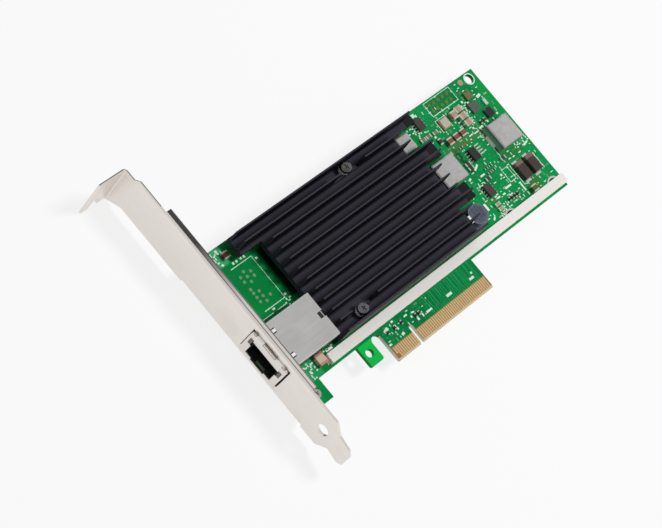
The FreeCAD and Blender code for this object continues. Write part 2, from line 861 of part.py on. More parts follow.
def card_nodes():
    """Board, edge contacts, bracket and stiffener."""
    return {"circuit_board": circuit_board(),
            "edge_contacts_front": edge_contacts(0, front_short_contacts),
            "edge_contacts_back": edge_contacts(board_back - contact_thickness, back_short_contacts),
            "bracket": bracket(),
            "bracket_screws": Part.makeCompound([foot_screw(y) for y in foot_places]),
            "stiffener_bar": stiffener_bar(),
            "stiffener_screws": Part.makeCompound([stiffener_screw(x) for x in bar_screws])}


def cooling_nodes():
    """Controller package and the heatsink that the spring screws press on it."""
    x, y = package_x, package_y
    return {"controller_substrate": block(x, y, package_side, package_side, 0, substrate_height),
            "controller_lid": block(x, y, lid_side, lid_side, substrate_height, lid_top),
            "thermal_pad": block(x, y, lid_side, lid_side, lid_top, base_low),
            "heatsink": heatsink(),
            "heatsink_screws": Part.makeCompound([heatsink_screw(x, y) for x, y in sink_screws]),
            "heatsink_springs": Part.makeCompound([heatsink_spring(x, y) for x, y in sink_screws]),
            "heatsink_nuts": Part.makeCompound([heatsink_nut(x, y) for x, y in sink_screws])}


def jack_nodes():
    return {"jack_shield": jack_shield(),
            "jack_housing": jack_housing(),
            "jack_contacts": jack_contacts(),
            "jack_light_pipes": jack_light_pipes(),
            "jack_pins": jack_pins()}


def power_nodes():
    """Inductors and the moulded capacitors."""
    made = {}
    straps = []
    for name, x in (("inner", inner_inductor_x), ("outer", outer_inductor_x)):
        made["power_inductor_" + name] = pressed_core(x, inductor_y, inductor_length, inductor_width,
                                                      inductor_height)
        straps += inductor_straps(x)
    made["power_inductor_straps"] = Part.makeCompound(straps)
    made["filter_inductor"] = pressed_core(filter_x, filter_y, filter_side, filter_side, filter_height)
    made["drum_inductor_base"] = drum_inductor_base()
    made["drum_inductor_core"] = drum_inductor_core()
    made["drum_inductor_clips"] = drum_inductor_clips()
    ends = []
    for name, x in (("inner", polymer_x), ("outer", polymer_x + polymer_pitch)):
        made["polymer_capacitor_" + name] = moulded_body(x, polymer_y, polymer_width, polymer_length,
                                                         polymer_strap_sheet, polymer_height, polymer_draft)
        ends += polymer_straps(x)
    made["polymer_capacitor_straps"] = Part.makeCompound(ends)
    return made


def chip_nodes():
    """Two-ended chips by kind, with all their tinned ends in one node."""
    kinds = {"tan_capacitors": (tan_chips, large_chip), "brown_capacitors": (brown_chips, brown_chip),
             "surge_capacitor": (surge_chips, surge_chip), "power_chips": (power_chips, medium_chip),
             "bypass_chips": (bypass_chips, small_chip), "sense_chips": (sense_chips, small_chip),
             "clock_chips": (clock_chips, small_chip), "link_chips": (link_chips, small_chip)}
    made = {}
    caps = []
    for name, (places, size) in kinds.items():
        made[name] = Part.makeCompound([chip_body(place, size) for place in places])
        for place in places:
            caps += chip_end_caps(place, size)
    made["chip_end_caps"] = Part.makeCompound(caps)
    return made


def package_nodes():
    """Regulators with their leads, flat packages and the oscillator."""
    made = {}
    leads = []
    for name, (x, y) in regulators.items():
        made["regulator_" + name] = moulded_body(x, y, regulator_width, regulator_length,
                                                 regulator_stand, regulator_height, regulator_draft)
        leads += regulator_leads(x, y)
    made["regulator_leads"] = Part.makeCompound(leads)
    for name, (x, y, side) in flat_packages.items():
        made["flat_package_" + name] = block(x, y, side, side, 0, flat_package_height)
    x, y = oscillator_place
    lid = oscillator_side - 2 * oscillator_lid_inset
    lid_low = oscillator_base_height
    made["oscillator_base"] = block(x, y, oscillator_side, oscillator_side, 0, lid_low)
    made["oscillator_lid"] = block(x, y, lid, lid, lid_low, lid_low + oscillator_lid_height)
    return made


os.makedirs("parts", exist_ok=True)
for group in (card_nodes(), cooling_nodes(), jack_nodes(), power_nodes(), chip_nodes(), package_nodes()):
    for node, shape in group.items():
        shape.exportStep("parts/" + node + ".step")
        print(node, len(shape.Solids), round(shape.Volume, 2), shape.isValid())
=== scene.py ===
import bpy
import bmesh
import json
import math
import random
from mathutils import Matrix, Vector
from mathutils.bvhtree import BVHTree


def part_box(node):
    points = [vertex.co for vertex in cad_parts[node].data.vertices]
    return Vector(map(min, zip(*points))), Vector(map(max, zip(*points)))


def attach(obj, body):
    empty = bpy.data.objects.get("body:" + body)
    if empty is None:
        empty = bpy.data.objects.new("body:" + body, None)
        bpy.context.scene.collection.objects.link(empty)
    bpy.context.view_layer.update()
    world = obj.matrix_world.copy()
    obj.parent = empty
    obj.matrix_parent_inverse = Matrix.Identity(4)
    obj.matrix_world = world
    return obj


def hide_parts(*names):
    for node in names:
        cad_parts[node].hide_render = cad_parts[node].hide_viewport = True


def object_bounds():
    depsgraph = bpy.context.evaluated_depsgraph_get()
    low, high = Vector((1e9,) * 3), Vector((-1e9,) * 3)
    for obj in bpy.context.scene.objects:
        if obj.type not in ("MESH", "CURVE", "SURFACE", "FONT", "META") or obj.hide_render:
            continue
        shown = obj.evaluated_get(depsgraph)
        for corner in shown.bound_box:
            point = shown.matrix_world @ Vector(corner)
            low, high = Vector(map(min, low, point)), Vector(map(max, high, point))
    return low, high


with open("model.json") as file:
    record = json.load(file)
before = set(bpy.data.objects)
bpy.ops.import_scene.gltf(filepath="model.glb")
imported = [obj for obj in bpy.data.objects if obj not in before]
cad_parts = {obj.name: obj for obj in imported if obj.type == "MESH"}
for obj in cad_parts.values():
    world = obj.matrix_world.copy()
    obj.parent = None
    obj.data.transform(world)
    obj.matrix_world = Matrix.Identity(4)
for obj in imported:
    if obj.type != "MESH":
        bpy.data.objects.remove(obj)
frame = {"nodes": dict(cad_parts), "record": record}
nodes = frame["nodes"]
cadLow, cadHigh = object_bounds()
scene = bpy.context.scene
mm = 0.001
boardBack = -1.57  # solder face, in millimetres
body = "root"
print("frame loaded:", len(nodes), "nodes")


# node wiring
def forward(operation):
    return lambda self, other: self.maths(operation, self, other)


def backward(operation):
    return lambda self, other: self.maths(operation, other, self)


class Wire:  # one output socket, so that shader maths reads as an expression
    def __init__(self, graph, out):
        self.graph = graph
        self.out = out

    def maths(self, operation, a, b=0.0):
        return self.graph.add("Math", {0: a, 1: b}, operation=operation)

    __add__, __radd__ = forward("ADD"), backward("ADD")
    __sub__, __rsub__ = forward("SUBTRACT"), backward("SUBTRACT")
    __mul__, __rmul__ = forward("MULTIPLY"), backward("MULTIPLY")
    __gt__, __lt__ = forward("GREATER_THAN"), forward("LESS_THAN")
    __mod__ = forward("FLOORED_MODULO")

    def __abs__(self):
        return self.maths("ABSOLUTE", self)


class Graph:  # a node tree in the making
    def add(self, kind, sockets=None, output=0, family="ShaderNode", **settings):
        node = self.tree.nodes.new(family + kind)
        for key, value in settings.items():
            setattr(node, key, value)
        for key, value in (sockets or {}).items():
            self.plug(node.inputs[key], value)
        return Wire(self, node.outputs[output])

    def plug(self, socket, value):
        if isinstance(value, Wire):
            self.tree.links.new(value.out, socket)
        elif socket.type == "RGBA" and len(value) == 3:
            socket.default_value = (*value, 1.0)
        else:
            socket.default_value = value


socketNames = {"colour": "Base Color", "roughness": "Roughness", "metallic": "Metallic",
               "specular": "Specular IOR Level"}


class Finish(Graph):  # a material, or the world's
    def __init__(self, name, store=bpy.data.materials, shader="Principled BSDF"):
        self.name = name
        self.material = store.new(name)
        self.material.use_nodes = True
        self.tree = self.material.node_tree
        self.shader = self.tree.nodes[shader]

    def place(self, stretch=(1, 1, 1)):
        here = self.add("TexCoord", output="Object")
        return self.add("Mapping", {"Vector": here, "Scale": stretch})

    def axes(self):
        here = self.add("TexCoord", output="Object")
        return [self.add("SeparateXYZ", {"Vector": here}, axis) for axis in "XYZ"]

    def facing(self, axis):  # how far a face looks along an axis, whoever looks at it
        turned = self.add("TexCoord", output="Normal")
        return self.add("SeparateXYZ", {"Vector": turned}, axis)

    def noise(self, where, scale, detail=3.0):
        cloud = self.add("TexNoise", {"Vector": where, "Scale": scale, "Detail": detail})
        return self.span(cloud, 0.3, 0.7)

    def span(self, value, low, high):  # stretched to 0..1 and held there
        return self.add("MapRange", {"Value": value, "From Min": low, "From Max": high}, clamp=True)

    def mix(self, a, b, share):  # of wires or screen colours
        a, b = (tone if isinstance(tone, Wire) else ink(*tone) for tone in (a, b))
        return self.add("Mix", {0: share, 6: a, 7: b}, 2, data_type="RGBA")

    def patched(self, tone, soft):  # other colours inside boxes on the component side
        x, y, z = self.axes()
        front = z > boardBack / 2 * mm
        for x0, x1, y0, y1, colour, share in tonePatches.get(self.name, ()):
            inside = front * share
            for value, low, high in ((x, x0, x1), (y, y0, y1)):
                inside = inside * self.span(value, (low - soft) * mm, (low + soft) * mm)
                inside = inside * self.span(value, (high + soft) * mm, (high - soft) * mm)
            tone = self.mix(tone, colour, inside)
        return tone

    def finish(self, bump=None, depth=0.0, **sockets):
        for key, value in sockets.items():
            self.plug(self.shader.inputs[socketNames[key]], value)
        if bump is not None:
            relief = self.add("Bump", {"Height": bump, "Distance": depth, "Strength": 1.0})
            self.plug(self.shader.inputs["Normal"], relief)
        return self.material


def ink(red, green, blue):  # screen colour 0..255 to the shader's own values
    parts = [v / 255 for v in (red, green, blue)]
    return tuple(v / 12.92 if v <= 0.04045 else ((v + 0.055) / 1.055) ** 2.4 for v in parts)


tonePatches = {  # by finish: x, x, y, y, colour, share; some boxes hold painted shade and painted light, as noted above them
    "greenLacquer": [
        (57.0, 99.0, 13.0, 70.0, (30, 176, 106), 0.22), (65.2, 67.6, 37.0, 48.2, (36, 62, 48), 0.8),
        (63.5, 82.0, 46.4, 49.8, (84, 118, 62), 0.5), (82.0, 93.0, 32.6, 36.6, (46, 112, 58), 0.5),
        (69.2, 83.2, 62.6, 67.8, (28, 92, 48), 0.55), (82.5, 89.0, 18.2, 22.6, (72, 104, 34), 0.6),
        (93.6, 98.2, 44.0, 64.0, (16, 156, 68), 0.6), (-30.5, 40.0, 5.4, 13.2, (4, 116, 66), 0.5),
        # next line: painted shade on the strip between the jack and the bar, then painted light lifting the
        # shade on the board's upper-left corner
        (-30.0, -26.0, 17.6, 19.6, (10, 30, 22), 0.85), (-46.5, -41.0, 61.8, 69.2, (90, 206, 140), 0.5),
        # next line: the second box is a painted shadow on the board beside the heatsink's left end
        (-48.0, -40.0, 12.4, 20.4, (70, 204, 136), 0.35), (-30.1, -24.0, 40.0, 60.4, (6, 16, 12), 0.94),
        # next line: painted shade on the board along the jack's +Y edge
        (-57.5, -33.5, 37.0, 38.9, (8, 34, 22), 0.45)],
    "blackMoulding": [
        (83.0, 90.0, 53.0, 59.5, (84, 94, 86), 0.9), (85.0, 91.0, 59.5, 64.0, (104, 112, 70), 0.9),
        (55.0, 70.0, 20.0, 34.0, (74, 62, 52), 0.6), (55.0, 66.0, 60.0, 66.0, (74, 64, 54), 0.6)],
    "tinPlate": [(-48.0, -30.0, 12.0, 19.35, (224, 150, 132), 0.9)],
    "polymerCase": [(80.0, 96.0, 28.9, 32.0, (140, 112, 106), 0.7)],
    "tanCeramic": [(-48.0, -30.0, 12.0, 22.0, (218, 196, 170), 0.9)],
    "brownCeramic": [
        (80.0, 88.0, 16.0, 22.0, (74, 92, 36), 0.85), (-46.0, -36.0, 60.0, 69.0, (82, 46, 38), 0.8)],
    "chipCeramic": [
        (60.0, 69.0, 18.0, 24.0, (186, 178, 150), 0.8), (91.0, 96.0, 52.0, 59.0, (196, 222, 204), 0.9),
        (55.0, 67.0, 55.0, 59.0, (150, 152, 120), 0.6)],
}


def grained(name, dark, pale, rough, grain, metallic=0.0, stretch=(1, 1, 1), relief=0.0, specular=0.5):
    f = Finish(name)
    where = f.place(stretch)
    broad = f.noise(where, grain * 0.2, 2.0)
    fine = f.noise(where, grain, 4.0)
    tone = broad * 0.4 + fine * 0.6
    low, high = rough
    colour = f.patched(f.mix(dark, pale, tone), 0.02)
    return f.finish(bump=fine if relief else None, depth=relief * mm, colour=colour,
                    roughness=low + (high - low) * fine, metallic=metallic, specular=specular)


# board lacquer: copper fields, fine routing and the fibre weave below it
lacquerLook = {"low": (3, 106, 52), "high": (8, 146, 70), "copper": (14, 160, 80), "edge": (20, 140, 66),
               "lug": (18, 204, 84), "laminate": (156, 116, 78), "bevel": (222, 198, 164),
               "cut": (252, 242, 224), "field": 95, "routePitch": 0.62, "routeWidth": 0.3, "cloud": 45,
               "weave": 3000, "windowTop": 5.35, "bevelTop": 0.82, "windowX": (-12.75, 39.75),
               "lugX": (-24.5, -15.6), "lugTop": 12.4}


def lacquer():
    s = lacquerLook
    f = Finish("greenLacquer")
    x, y, z = f.axes()
    where = f.place()
    cells = f.add("TexVoronoi", {"Vector": where, "Scale": s["field"], "Randomness": 0.9}, "Color",
                  distance="CHEBYCHEV")
    pick = f.add("SeparateColor", {"Color": cells}, "Red")
    other = f.add("SeparateColor", {"Color": cells}, "Green")
    pitch = s["routePitch"] * mm
    alongX = abs((y % pitch) - pitch / 2) < s["routeWidth"] * mm / 2
    alongY = abs((x % pitch) - pitch / 2) < s["routeWidth"] * mm / 2
    routes = (pick > 0.62) * alongX + (pick < 0.34) * alongY
    cloud = f.noise(where, s["cloud"], 3.0)
    weave = f.noise(where, s["weave"], 2.0)
    green = f.mix(s["low"], s["high"], cloud * 0.55 + (other > 0.5) * 0.3 + weave * 0.15)
    green = f.mix(green, s["copper"], routes * 0.45)
    green = f.patched(green, 0.5)
    upright = abs(f.facing("Z")) < 0.5
    low = y < s["lugTop"] * mm
    lug, tongue = ((x > near * mm) * (x < far * mm) for near, far in (s["lugX"], s["windowX"]))
    green = f.mix(green, s["lug"], lug * low * 0.8)
    green = f.mix(green, s["edge"], upright * 0.8)
    green = f.mix(green, s["laminate"], tongue * (y < s["windowTop"] * mm))
    green = f.mix(green, s["bevel"], tongue * (y < s["bevelTop"] * mm) * (0.75 + 0.25 * weave))
    green = f.mix(green, s["cut"], tongue * low * upright)
    return f.finish(bump=routes * 0.7 + weave * 0.3, depth=0.02 * mm, colour=green,
                    roughness=0.34 + weave * 0.12, specular=0.07)


# black anodised extrusion: die lines along the fins, with a painted highlight on the fin tips, painted
# shade on the faces turned to -Y and at each fin's foot, and painted light on the floor faces
finSpacing = {"count": 12, "root": 1.2}
anodiseLook = {"dark": (40, 39, 48), "pale": (52, 51, 61), "tip": (58, 57, 66), "side": (4, 4, 8),
               "floor": (60, 59, 69), "floorTop": 5.3, "toe": (25, 25, 28), "toeX": 51.8, "foot": 0.75,
               "grain": 900}


def finPitch(low, high):  # from the middle of one fin to the next, in metres
    return (high.y - low.y - finSpacing["root"] * mm) / (finSpacing["count"] - 1)


def anodise():
    s = anodiseLook
    low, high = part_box("heatsink")
    f = Finish("blackAnodise")
    x, y, z = f.axes()
    lines = f.noise(f.place((0.02, 1, 1)), s["grain"] * 4, 3.0)
    cloud = f.noise(f.place((0.3, 1, 1)), s["grain"] * 0.3, 3.0)
    coat = f.mix(s["dark"], s["pale"], lines * 0.5 + cloud * 0.5)
    # painted highlight along the fin tips
    tipHighlight = f.span(z, high.z - 0.2 * mm, high.z - 0.02 * mm) * (0.5 + 0.5 * lines)
    coat = f.mix(coat, s["tip"], tipHighlight)
    # painted shade on faces turned to -Y
    coat = f.mix(coat, s["side"], f.span(f.facing("Y"), -0.4, -0.8) * 0.9)
    level = (z < s["floorTop"] * mm) * (f.facing("Z") > 0.7)
    # painted light: the floor faces between the fins are made paler
    coat = f.mix(coat, s["floor"], level * (0.4 + 0.4 * cloud))
    pitch = finPitch(low, high)
    # painted shade on the floor beside each fin's -Y foot
    foot = f.span((y - low.y) % pitch, pitch - s["foot"] * mm, pitch - 0.2 * s["foot"] * mm)
    coat = f.mix(coat, s["side"], level * foot * 0.85)
    coat = f.mix(coat, s["toe"], level * (x > s["toeX"] * mm))
    return f.finish(bump=lines, depth=0.01 * mm, colour=coat, roughness=0.4 + 0.14 * cloud, specular=0.16)


# bracket sheet: satin plating, faint rolling lines, a few soft stains; a painted dark reflection on the
# upper flange, and painted dark lines of reflection and shade along its bend, its end and the top edge
bracketLook = {"dark": (230, 224, 218), "pale": (242, 236, 230), "stain": (218, 211, 205),
               "fold": (78, 78, 76), "foldFrom": 44.0, "foldTo": 72.0, "edgeY": 88.5, "rimX": -58.1,
               "rimY": 105.95, "paintedDarkLine": (92, 90, 86), "creaseX": -57.25, "creaseWide": 0.36,
               "endX": -55.98, "lipZ": 14.0, "cloud": 38, "grain": 1600}


def bracketPlate():
    s = bracketLook
    f = Finish("bracketPlate")
    x, y, z = f.axes()
    lines = f.noise(f.place((1, 0.03, 1)), s["grain"], 3.0)
    cloud = f.noise(f.place(), s["cloud"], 3.0)
    tone = f.mix(s["dark"], s["pale"], lines * 0.2 + cloud * 0.8)
    tone = f.mix(tone, s["stain"], f.span(cloud, 0.75, 1.0) * 0.3)
    lip = (z > s["lipZ"] * mm) * (x > (s["creaseX"] - s["creaseWide"] / 2) * mm)
    # painted dark reflection on the top of the flange, growing along it towards the tab
    tone = f.mix(tone, s["fold"], f.span(y, s["foldFrom"] * mm, s["foldTo"] * mm) * lip)
    # painted dark lines on the flange: a dark reflection at the end of the bend, and shade on the flange's
    # end face
    line = (x < (s["creaseX"] + s["creaseWide"] / 2) * mm) + (x > s["endX"] * mm)
    tone = f.mix(tone, s["paintedDarkLine"], lip * line * 0.8)
    # painted shade on the upward faces of the top edge past the flange and of the tab
    rim = (f.facing("Z") > 0.6) * (y > s["edgeY"] * mm) * ((x > s["rimX"] * mm) + (y > s["rimY"] * mm))
    tone = f.mix(tone, s["paintedDarkLine"], rim * 0.8)
    return f.finish(bump=lines, depth=0.003 * mm, colour=tone, roughness=0.34 + 0.12 * cloud, metallic=1.0)


# jack shield: brushed steel, with a painted highlight on the top of the nose and painted shade low on the
# -Y side
shieldLook = {"dark": (190, 189, 188), "pale": (212, 211, 209), "side": (26, 26, 27), "sideTop": 10.4,
              "cloud": 120, "grain": 2200, "nose": (226, 221, 215), "noseTopHighlight": (255, 252, 248),
              "noseX": -58.75}


def shieldSteel():
    s = shieldLook
    f = Finish("shieldSteel")
    lines = f.noise(f.place((0.04, 1, 1)), s["grain"], 3.0)
    cloud = f.noise(f.place(), s["cloud"], 3.0)
    x, y, z = f.axes()
    tone = f.mix(s["dark"], s["pale"], lines * 0.45 + cloud * 0.55)
    nose = x < s["noseX"] * mm
    # painted highlight on the upward faces of the nose
    tone = f.mix(tone, f.mix(s["nose"], s["noseTopHighlight"], f.facing("Z") > 0.5), nose)
    # painted shade low on the faces turned to -Y
    side = (f.facing("Y") < -0.5) * (z < s["sideTop"] * mm)
    tone = f.mix(tone, s["side"], side)
    return f.finish(bump=lines, depth=0.006 * mm, colour=tone, roughness=0.3 + 0.14 * lines, metallic=1.0)


# drum top: dull ferrite, with a painted highlight that grows paler towards the rim
drumLook = {"dark": (52, 58, 70), "pale": (88, 96, 112), "ring": (120, 128, 142), "ringFrom": 2.9,
            "ringTo": 4.1, "cloud": 800}


def drumFerrite():
    s = drumLook
    low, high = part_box("drum_inductor_core")
    middle = (low + high) / 2
    f = Finish("drumFerrite")
    here = f.add("TexCoord", output="Object")
    centred = f.add("VectorMath", {0: here, 1: (middle.x, middle.y, high.z)}, operation="SUBTRACT")
    away = f.add("VectorMath", {0: centred}, "Value", operation="LENGTH")
    cloud = f.noise(f.place(), s["cloud"], 4.0)
    tone = f.mix(s["dark"], s["pale"], cloud)
    # painted highlight towards the rim
    tone = f.mix(tone, s["ring"], f.span(away, s["ringFrom"] * mm, s["ringTo"] * mm) * 0.5)
    return f.finish(bump=cloud, depth=0.02 * mm, colour=tone, roughness=0.4 + 0.2 * cloud)


# inductor cores: pale pressed powder, with painted shade on the sides and a painted green reflection of the
# board low on them
powderLook = {"dark": (166, 164, 164), "pale": (194, 192, 191), "side": (104, 106, 102),
              "low": (132, 176, 148), "lowTop": 3.6, "grain": 3200}


def pressedPowder():
    s = powderLook
    f = Finish("ironPowder")
    fine = f.noise(f.place(), s["grain"], 4.0)
    broad = f.noise(f.place(), s["grain"] * 0.2, 2.0)
    tone = f.mix(s["dark"], s["pale"], broad * 0.4 + fine * 0.6)
    x, y, z = f.axes()
    # painted green reflection of the board, low on the sides
    side = f.mix(s["side"], s["low"], f.span(z, s["lowTop"] * mm, 0.4 * s["lowTop"] * mm))
    # painted shade on the side faces
    tone = f.mix(tone, side, f.span(f.facing("Z"), 0.5, 0.2) * (0.75 + 0.25 * fine))
    return f.finish(bump=fine, depth=0.02 * mm, colour=tone, roughness=0.55 + 0.17 * fine, specular=0.3)


finishes = {
    "solder_mask": lacquer(),
    "gold_plate": grained("contactGold", (224, 192, 138), (238, 208, 156), (0.3, 0.42), 1500, 1.0),
    "bracket_steel": bracketPlate(),
    "fastener_steel": grained("screwSteel", (176, 168, 164), (205, 198, 192), (0.24, 0.4), 1800, 1.0),
    "dark_steel": grained("darkSteel", (44, 44, 46), (136, 136, 138), (0.18, 0.34), 1400, 1.0),
    "bar_aluminium": grained("barAluminium", (242, 239, 233), (250, 247, 242), (0.45, 0.58), 1400, 0.25,
                             (0.05, 1, 1), 0.006),
    "black_anodise": anodise(),
    "laminate": grained("packageLaminate", (18, 84, 52), (26, 104, 64), (0.4, 0.5), 1200),
    "nickel_plate": grained("lidNickel", (198, 190, 176), (222, 214, 200), (0.3, 0.42), 1400, 1.0),
    "thermal_pad": grained("thermalPad", (120, 122, 126), (150, 152, 156), (0.7, 0.85), 900),
    "shield_steel": shieldSteel(),
    "black_moulding": grained("blackMoulding", (20, 20, 21), (34, 34, 36), (0.42, 0.6), 2400, relief=0.01),
    "light_pipe": grained("lightPipe", (92, 76, 64), (138, 124, 110), (0.14, 0.24), 2200),
    "tin_plate": grained("tinPlate", (196, 196, 188), (228, 228, 220), (0.26, 0.44), 2600, 0.9),
    "iron_powder": pressedPowder(),
    "ferrite": drumFerrite(),
    "polymer_case": grained("polymerCase", (50, 41, 38), (70, 58, 52), (0.48, 0.62), 2600, relief=0.01,
                            specular=0.4),
    "tan_ceramic": grained("tanCeramic", (164, 138, 112), (190, 164, 138), (0.45, 0.6), 2000, specular=0.3),
    "brown_ceramic": grained("brownCeramic", (112, 70, 54), (142, 96, 78), (0.45, 0.6), 2000, specular=0.3),
    "chip_ceramic": grained("chipCeramic", (44, 41, 40), (72, 64, 59), (0.5, 0.65), 2400, specular=0.3),
    "dull_pad": grained("dullPad", (104, 142, 106), (132, 164, 128), (0.5, 0.66), 2200, specular=0.3),
    "olive_pad": grained("olivePad", (92, 104, 46), (124, 128, 70), (0.5, 0.66), 2200, specular=0.3),
    "pale_tab": grained("paleTab", (236, 236, 232), (250, 250, 247), (0.4, 0.55), 2200, specular=0.3),
    "slot_edge": grained("slotEdge", (166, 148, 136), (190, 172, 160), (0.45, 0.6), 2200, specular=0.3),
    "slot_fill": grained("slotFill", (232, 226, 220), (246, 240, 235), (0.4, 0.55), 2200, specular=0.3),
    "shade": grained("gapShade", (22, 19, 18), (40, 34, 32), (0.7, 0.85), 2200, specular=0.1),
    "silk": grained("silkWhite", (206, 236, 214), (232, 248, 236), (0.55, 0.7), 2600),
    "route": grained("coveredRoute", (16, 150, 80), (44, 176, 104), (0.34, 0.46), 1200, specular=0.3),
    "hole": grained("drillShade", (8, 40, 24), (20, 60, 36), (0.6, 0.75), 1800),
}
print("finishes made:", len(finishes))


# pieces
def addObject(name, data):
    made = bpy.data.objects.new(name, data)
    scene.collection.objects.link(made)
    return made


def settle(made):  # modifiers to a plain mesh
    bpy.context.view_layer.update()
    graph = bpy.context.evaluated_depsgraph_get()
    plain = bpy.data.meshes.new_from_object(made.evaluated_get(graph))
    made.modifiers.clear()
    made.data = plain
    return made


def keep(made, slotName, *stoodFor):
    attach(made, body)
    if stoodFor:
        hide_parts(*stoodFor)
    return made


def dress(made, material):
    made.data.materials.clear()
    made.data.materials.append(material)


def smooth(mesh, degrees=38):
    mesh.polygons.foreach_set("use_smooth", [True] * len(mesh.polygons))
    mesh.set_sharp_from_angle(angle=math.radians(degrees))
    mesh.update()


def addShape(name, shape):
    mesh = bpy.data.meshes.new(name)
    shape.to_mesh(mesh)
    shape.free()
    return addObject(name, mesh)


def edgeBreak(made, width, segments=2):  # edges marked by their weight
    breaker = made.modifiers.new("edgeBreak", "BEVEL")
    breaker.width = width * mm
    breaker.segments = segments
    breaker.limit_method = "WEIGHT"
    breaker.use_clamp_overlap = False


# a weight on each sharp edge that has room for a bevel
def markEdges(shape, shortest, farX=math.inf, degrees=30):
    weight = shape.edges.layers.float.new("bevel_weight_edge")
    for edge in shape.edges:
        sharp = len(edge.link_faces) == 2 and edge.calc_face_angle() > math.radians(degrees)
        near = all(v.co.x < farX * mm for v in edge.verts)
        if sharp and near and edge.calc_length() > shortest * mm:
            edge[weight] = 1.0


easing = {"merge": 0.002, "flatDegrees": 1, "roomPerWidth": 4}


# a node's own shape with its edges broken
def eased(node, name, width, slotName, rounded=True, farX=math.inf):
    shape = bmesh.new()
    shape.from_mesh(nodes[node].data)
    bmesh.ops.remove_doubles(shape, verts=shape.verts, dist=easing["merge"] * mm)
    bmesh.ops.dissolve_limit(shape, angle_limit=math.radians(easing["flatDegrees"]), verts=shape.verts,
                             edges=shape.edges)
    markEdges(shape, easing["roomPerWidth"] * width, farX)
    made = addShape(name, shape)
    if rounded:
        smooth(made.data)
    edgeBreak(made, width)
    settle(made)
    dress(made, finishes[slotName])
    return keep(made, slotName, node)


# Geometry Nodes trees
class Growth(Graph):  # with named inputs
    def __init__(self, name, **inputs):
        self.tree = bpy.data.node_groups.new(name, "GeometryNodeTree")
        kinds = {"Geometry": "Geometry", **inputs, "Finish": "Material"}
        for label, kind in kinds.items():
            self.tree.interface.new_socket(label, in_out="INPUT", socket_type="NodeSocket" + kind)
        self.tree.interface.new_socket("Geometry", in_out="OUTPUT", socket_type="NodeSocketGeometry")
        start = self.tree.nodes.new("NodeGroupInput").outputs
        self.given = {label: Wire(self, start[label]) for label in kinds}

    def add(self, kind, sockets, output=0, family="GeometryNode", **settings):
        return super().add(kind, sockets, output, family, **settings)

    def vector(self, **parts):
        return self.add("CombineXYZ", parts, family="ShaderNode")

    def named(self, label, kind):
        return self.add("InputNamedAttribute", {"Name": label}, "Attribute", data_type=kind)

    def strip(self):  # section of a flat strip
        return self.add("CurvePrimitiveQuadrilateral",
                        {"Width": self.given["Width"], "Height": self.given["Thickness"]})

    def sweep(self, curve, section, caps=True):
        return self.add("CurveToMesh", {"Curve": curve, "Profile Curve": section, "Fill Caps": caps})

    def onPoints(self, piece, **more):
        return self.close(self.add("InstanceOnPoints",
                                   {"Points": self.given["Geometry"], "Instance": piece, **more}))

    def close(self, geometry):
        whole = self.add("RealizeInstances", {"Geometry": geometry})
        painted = self.add("SetMaterial", {"Geometry": whole, "Material": self.given["Finish"]})
        self.plug(self.tree.nodes.new("NodeGroupOutput").inputs[0], painted)
        return self.tree


def seeds(name, places, **fields):  # bare points, with one value per point for each field
    mesh = bpy.data.meshes.new(name)
    mesh.from_pydata([Vector(p) * mm for p in places], [], [])
    for label, values in fields.items():
        kind = "FLOAT_VECTOR" if hasattr(values[0], "__len__") else "FLOAT"
        field = mesh.attributes.new(label, kind, "POINT")
        for n, value in enumerate(values):
            if kind == "FLOAT":
                field.data[n].value = value
            else:
                field.data[n].vector = value
    return mesh


def grow(name, mesh, treeName, finishName, values=None, **lengths):
    made = addObject(name, mesh)
    tree = trees[treeName]
    maker = made.modifiers.new("growth", "NODES")
    maker.node_group = tree
    given = {label: length * mm for label, length in lengths.items()}
    given.update(values or {}, Finish=finishes[finishName])
    for label, value in given.items():
        maker[tree.interface.items_tree[label].identifier] = value
    return settle(made)


def barTree():  # flat bars on points: turn about Z, reach scales the length and width
    g = Growth("flatBars", Length="Float", Width="Float", Thickness="Float")
    size = g.vector(X=g.given["Length"], Y=g.given["Width"], Z=g.given["Thickness"])
    return g.onPoints(g.add("MeshCube", {"Size": size}), Rotation=g.vector(Z=g.named("turn", "FLOAT")),
                      Scale=g.named("reach", "FLOAT_VECTOR"))


def discTree():  # flat round pads on points
    g = Growth("roundPads", Radius="Float", Thickness="Float", Sides="Int")
    return g.onPoints(g.add("MeshCylinder", {"Vertices": g.given["Sides"], "Radius": g.given["Radius"],
                                             "Depth": g.given["Thickness"]}))


def ringTree():  # flat rings on points, swept round a circle
    g = Growth("flatRings", Radius="Float", Width="Float", Thickness="Float", Sides="Int")
    circle = g.add("CurvePrimitiveCircle", {"Resolution": g.given["Sides"], "Radius": g.given["Radius"]})
    return g.onPoints(g.sweep(circle, g.strip(), False))


def routeTree():  # flat strips along polylines
    g = Growth("flatRoutes", Width="Float", Thickness="Float")
    path = g.add("MeshToCurve", {"Mesh": g.given["Geometry"]})
    path = g.add("SetCurveNormal", {"Curve": path}, mode="Z_UP")
    return g.close(g.sweep(path, g.strip()))


def finTree():  # tapered fins with rounded tips, each as long as its run
    g = Growth("fins", Root="Float", Tip="Float", Height="Float", Round="Float")
    sizes = {"Bottom Width": g.given["Root"], "Top Width": g.given["Tip"], "Height": g.given["Height"],
             "Offset": 0.0}
    section = g.add("CurvePrimitiveQuadrilateral", sizes, mode="TRAPEZOID")
    section = g.add("FilletCurve", {"Curve": section, "Radius": g.given["Round"], "Count": 4}, mode="POLY")
    line = g.add("CurvePrimitiveLine", {"Start": (0, 0, 0), "End": (0, 0, 1)})
    return g.onPoints(g.sweep(line, section), Rotation=(math.pi / 2, 0, math.pi / 2),
                      Scale=g.named("run", "FLOAT_VECTOR"))


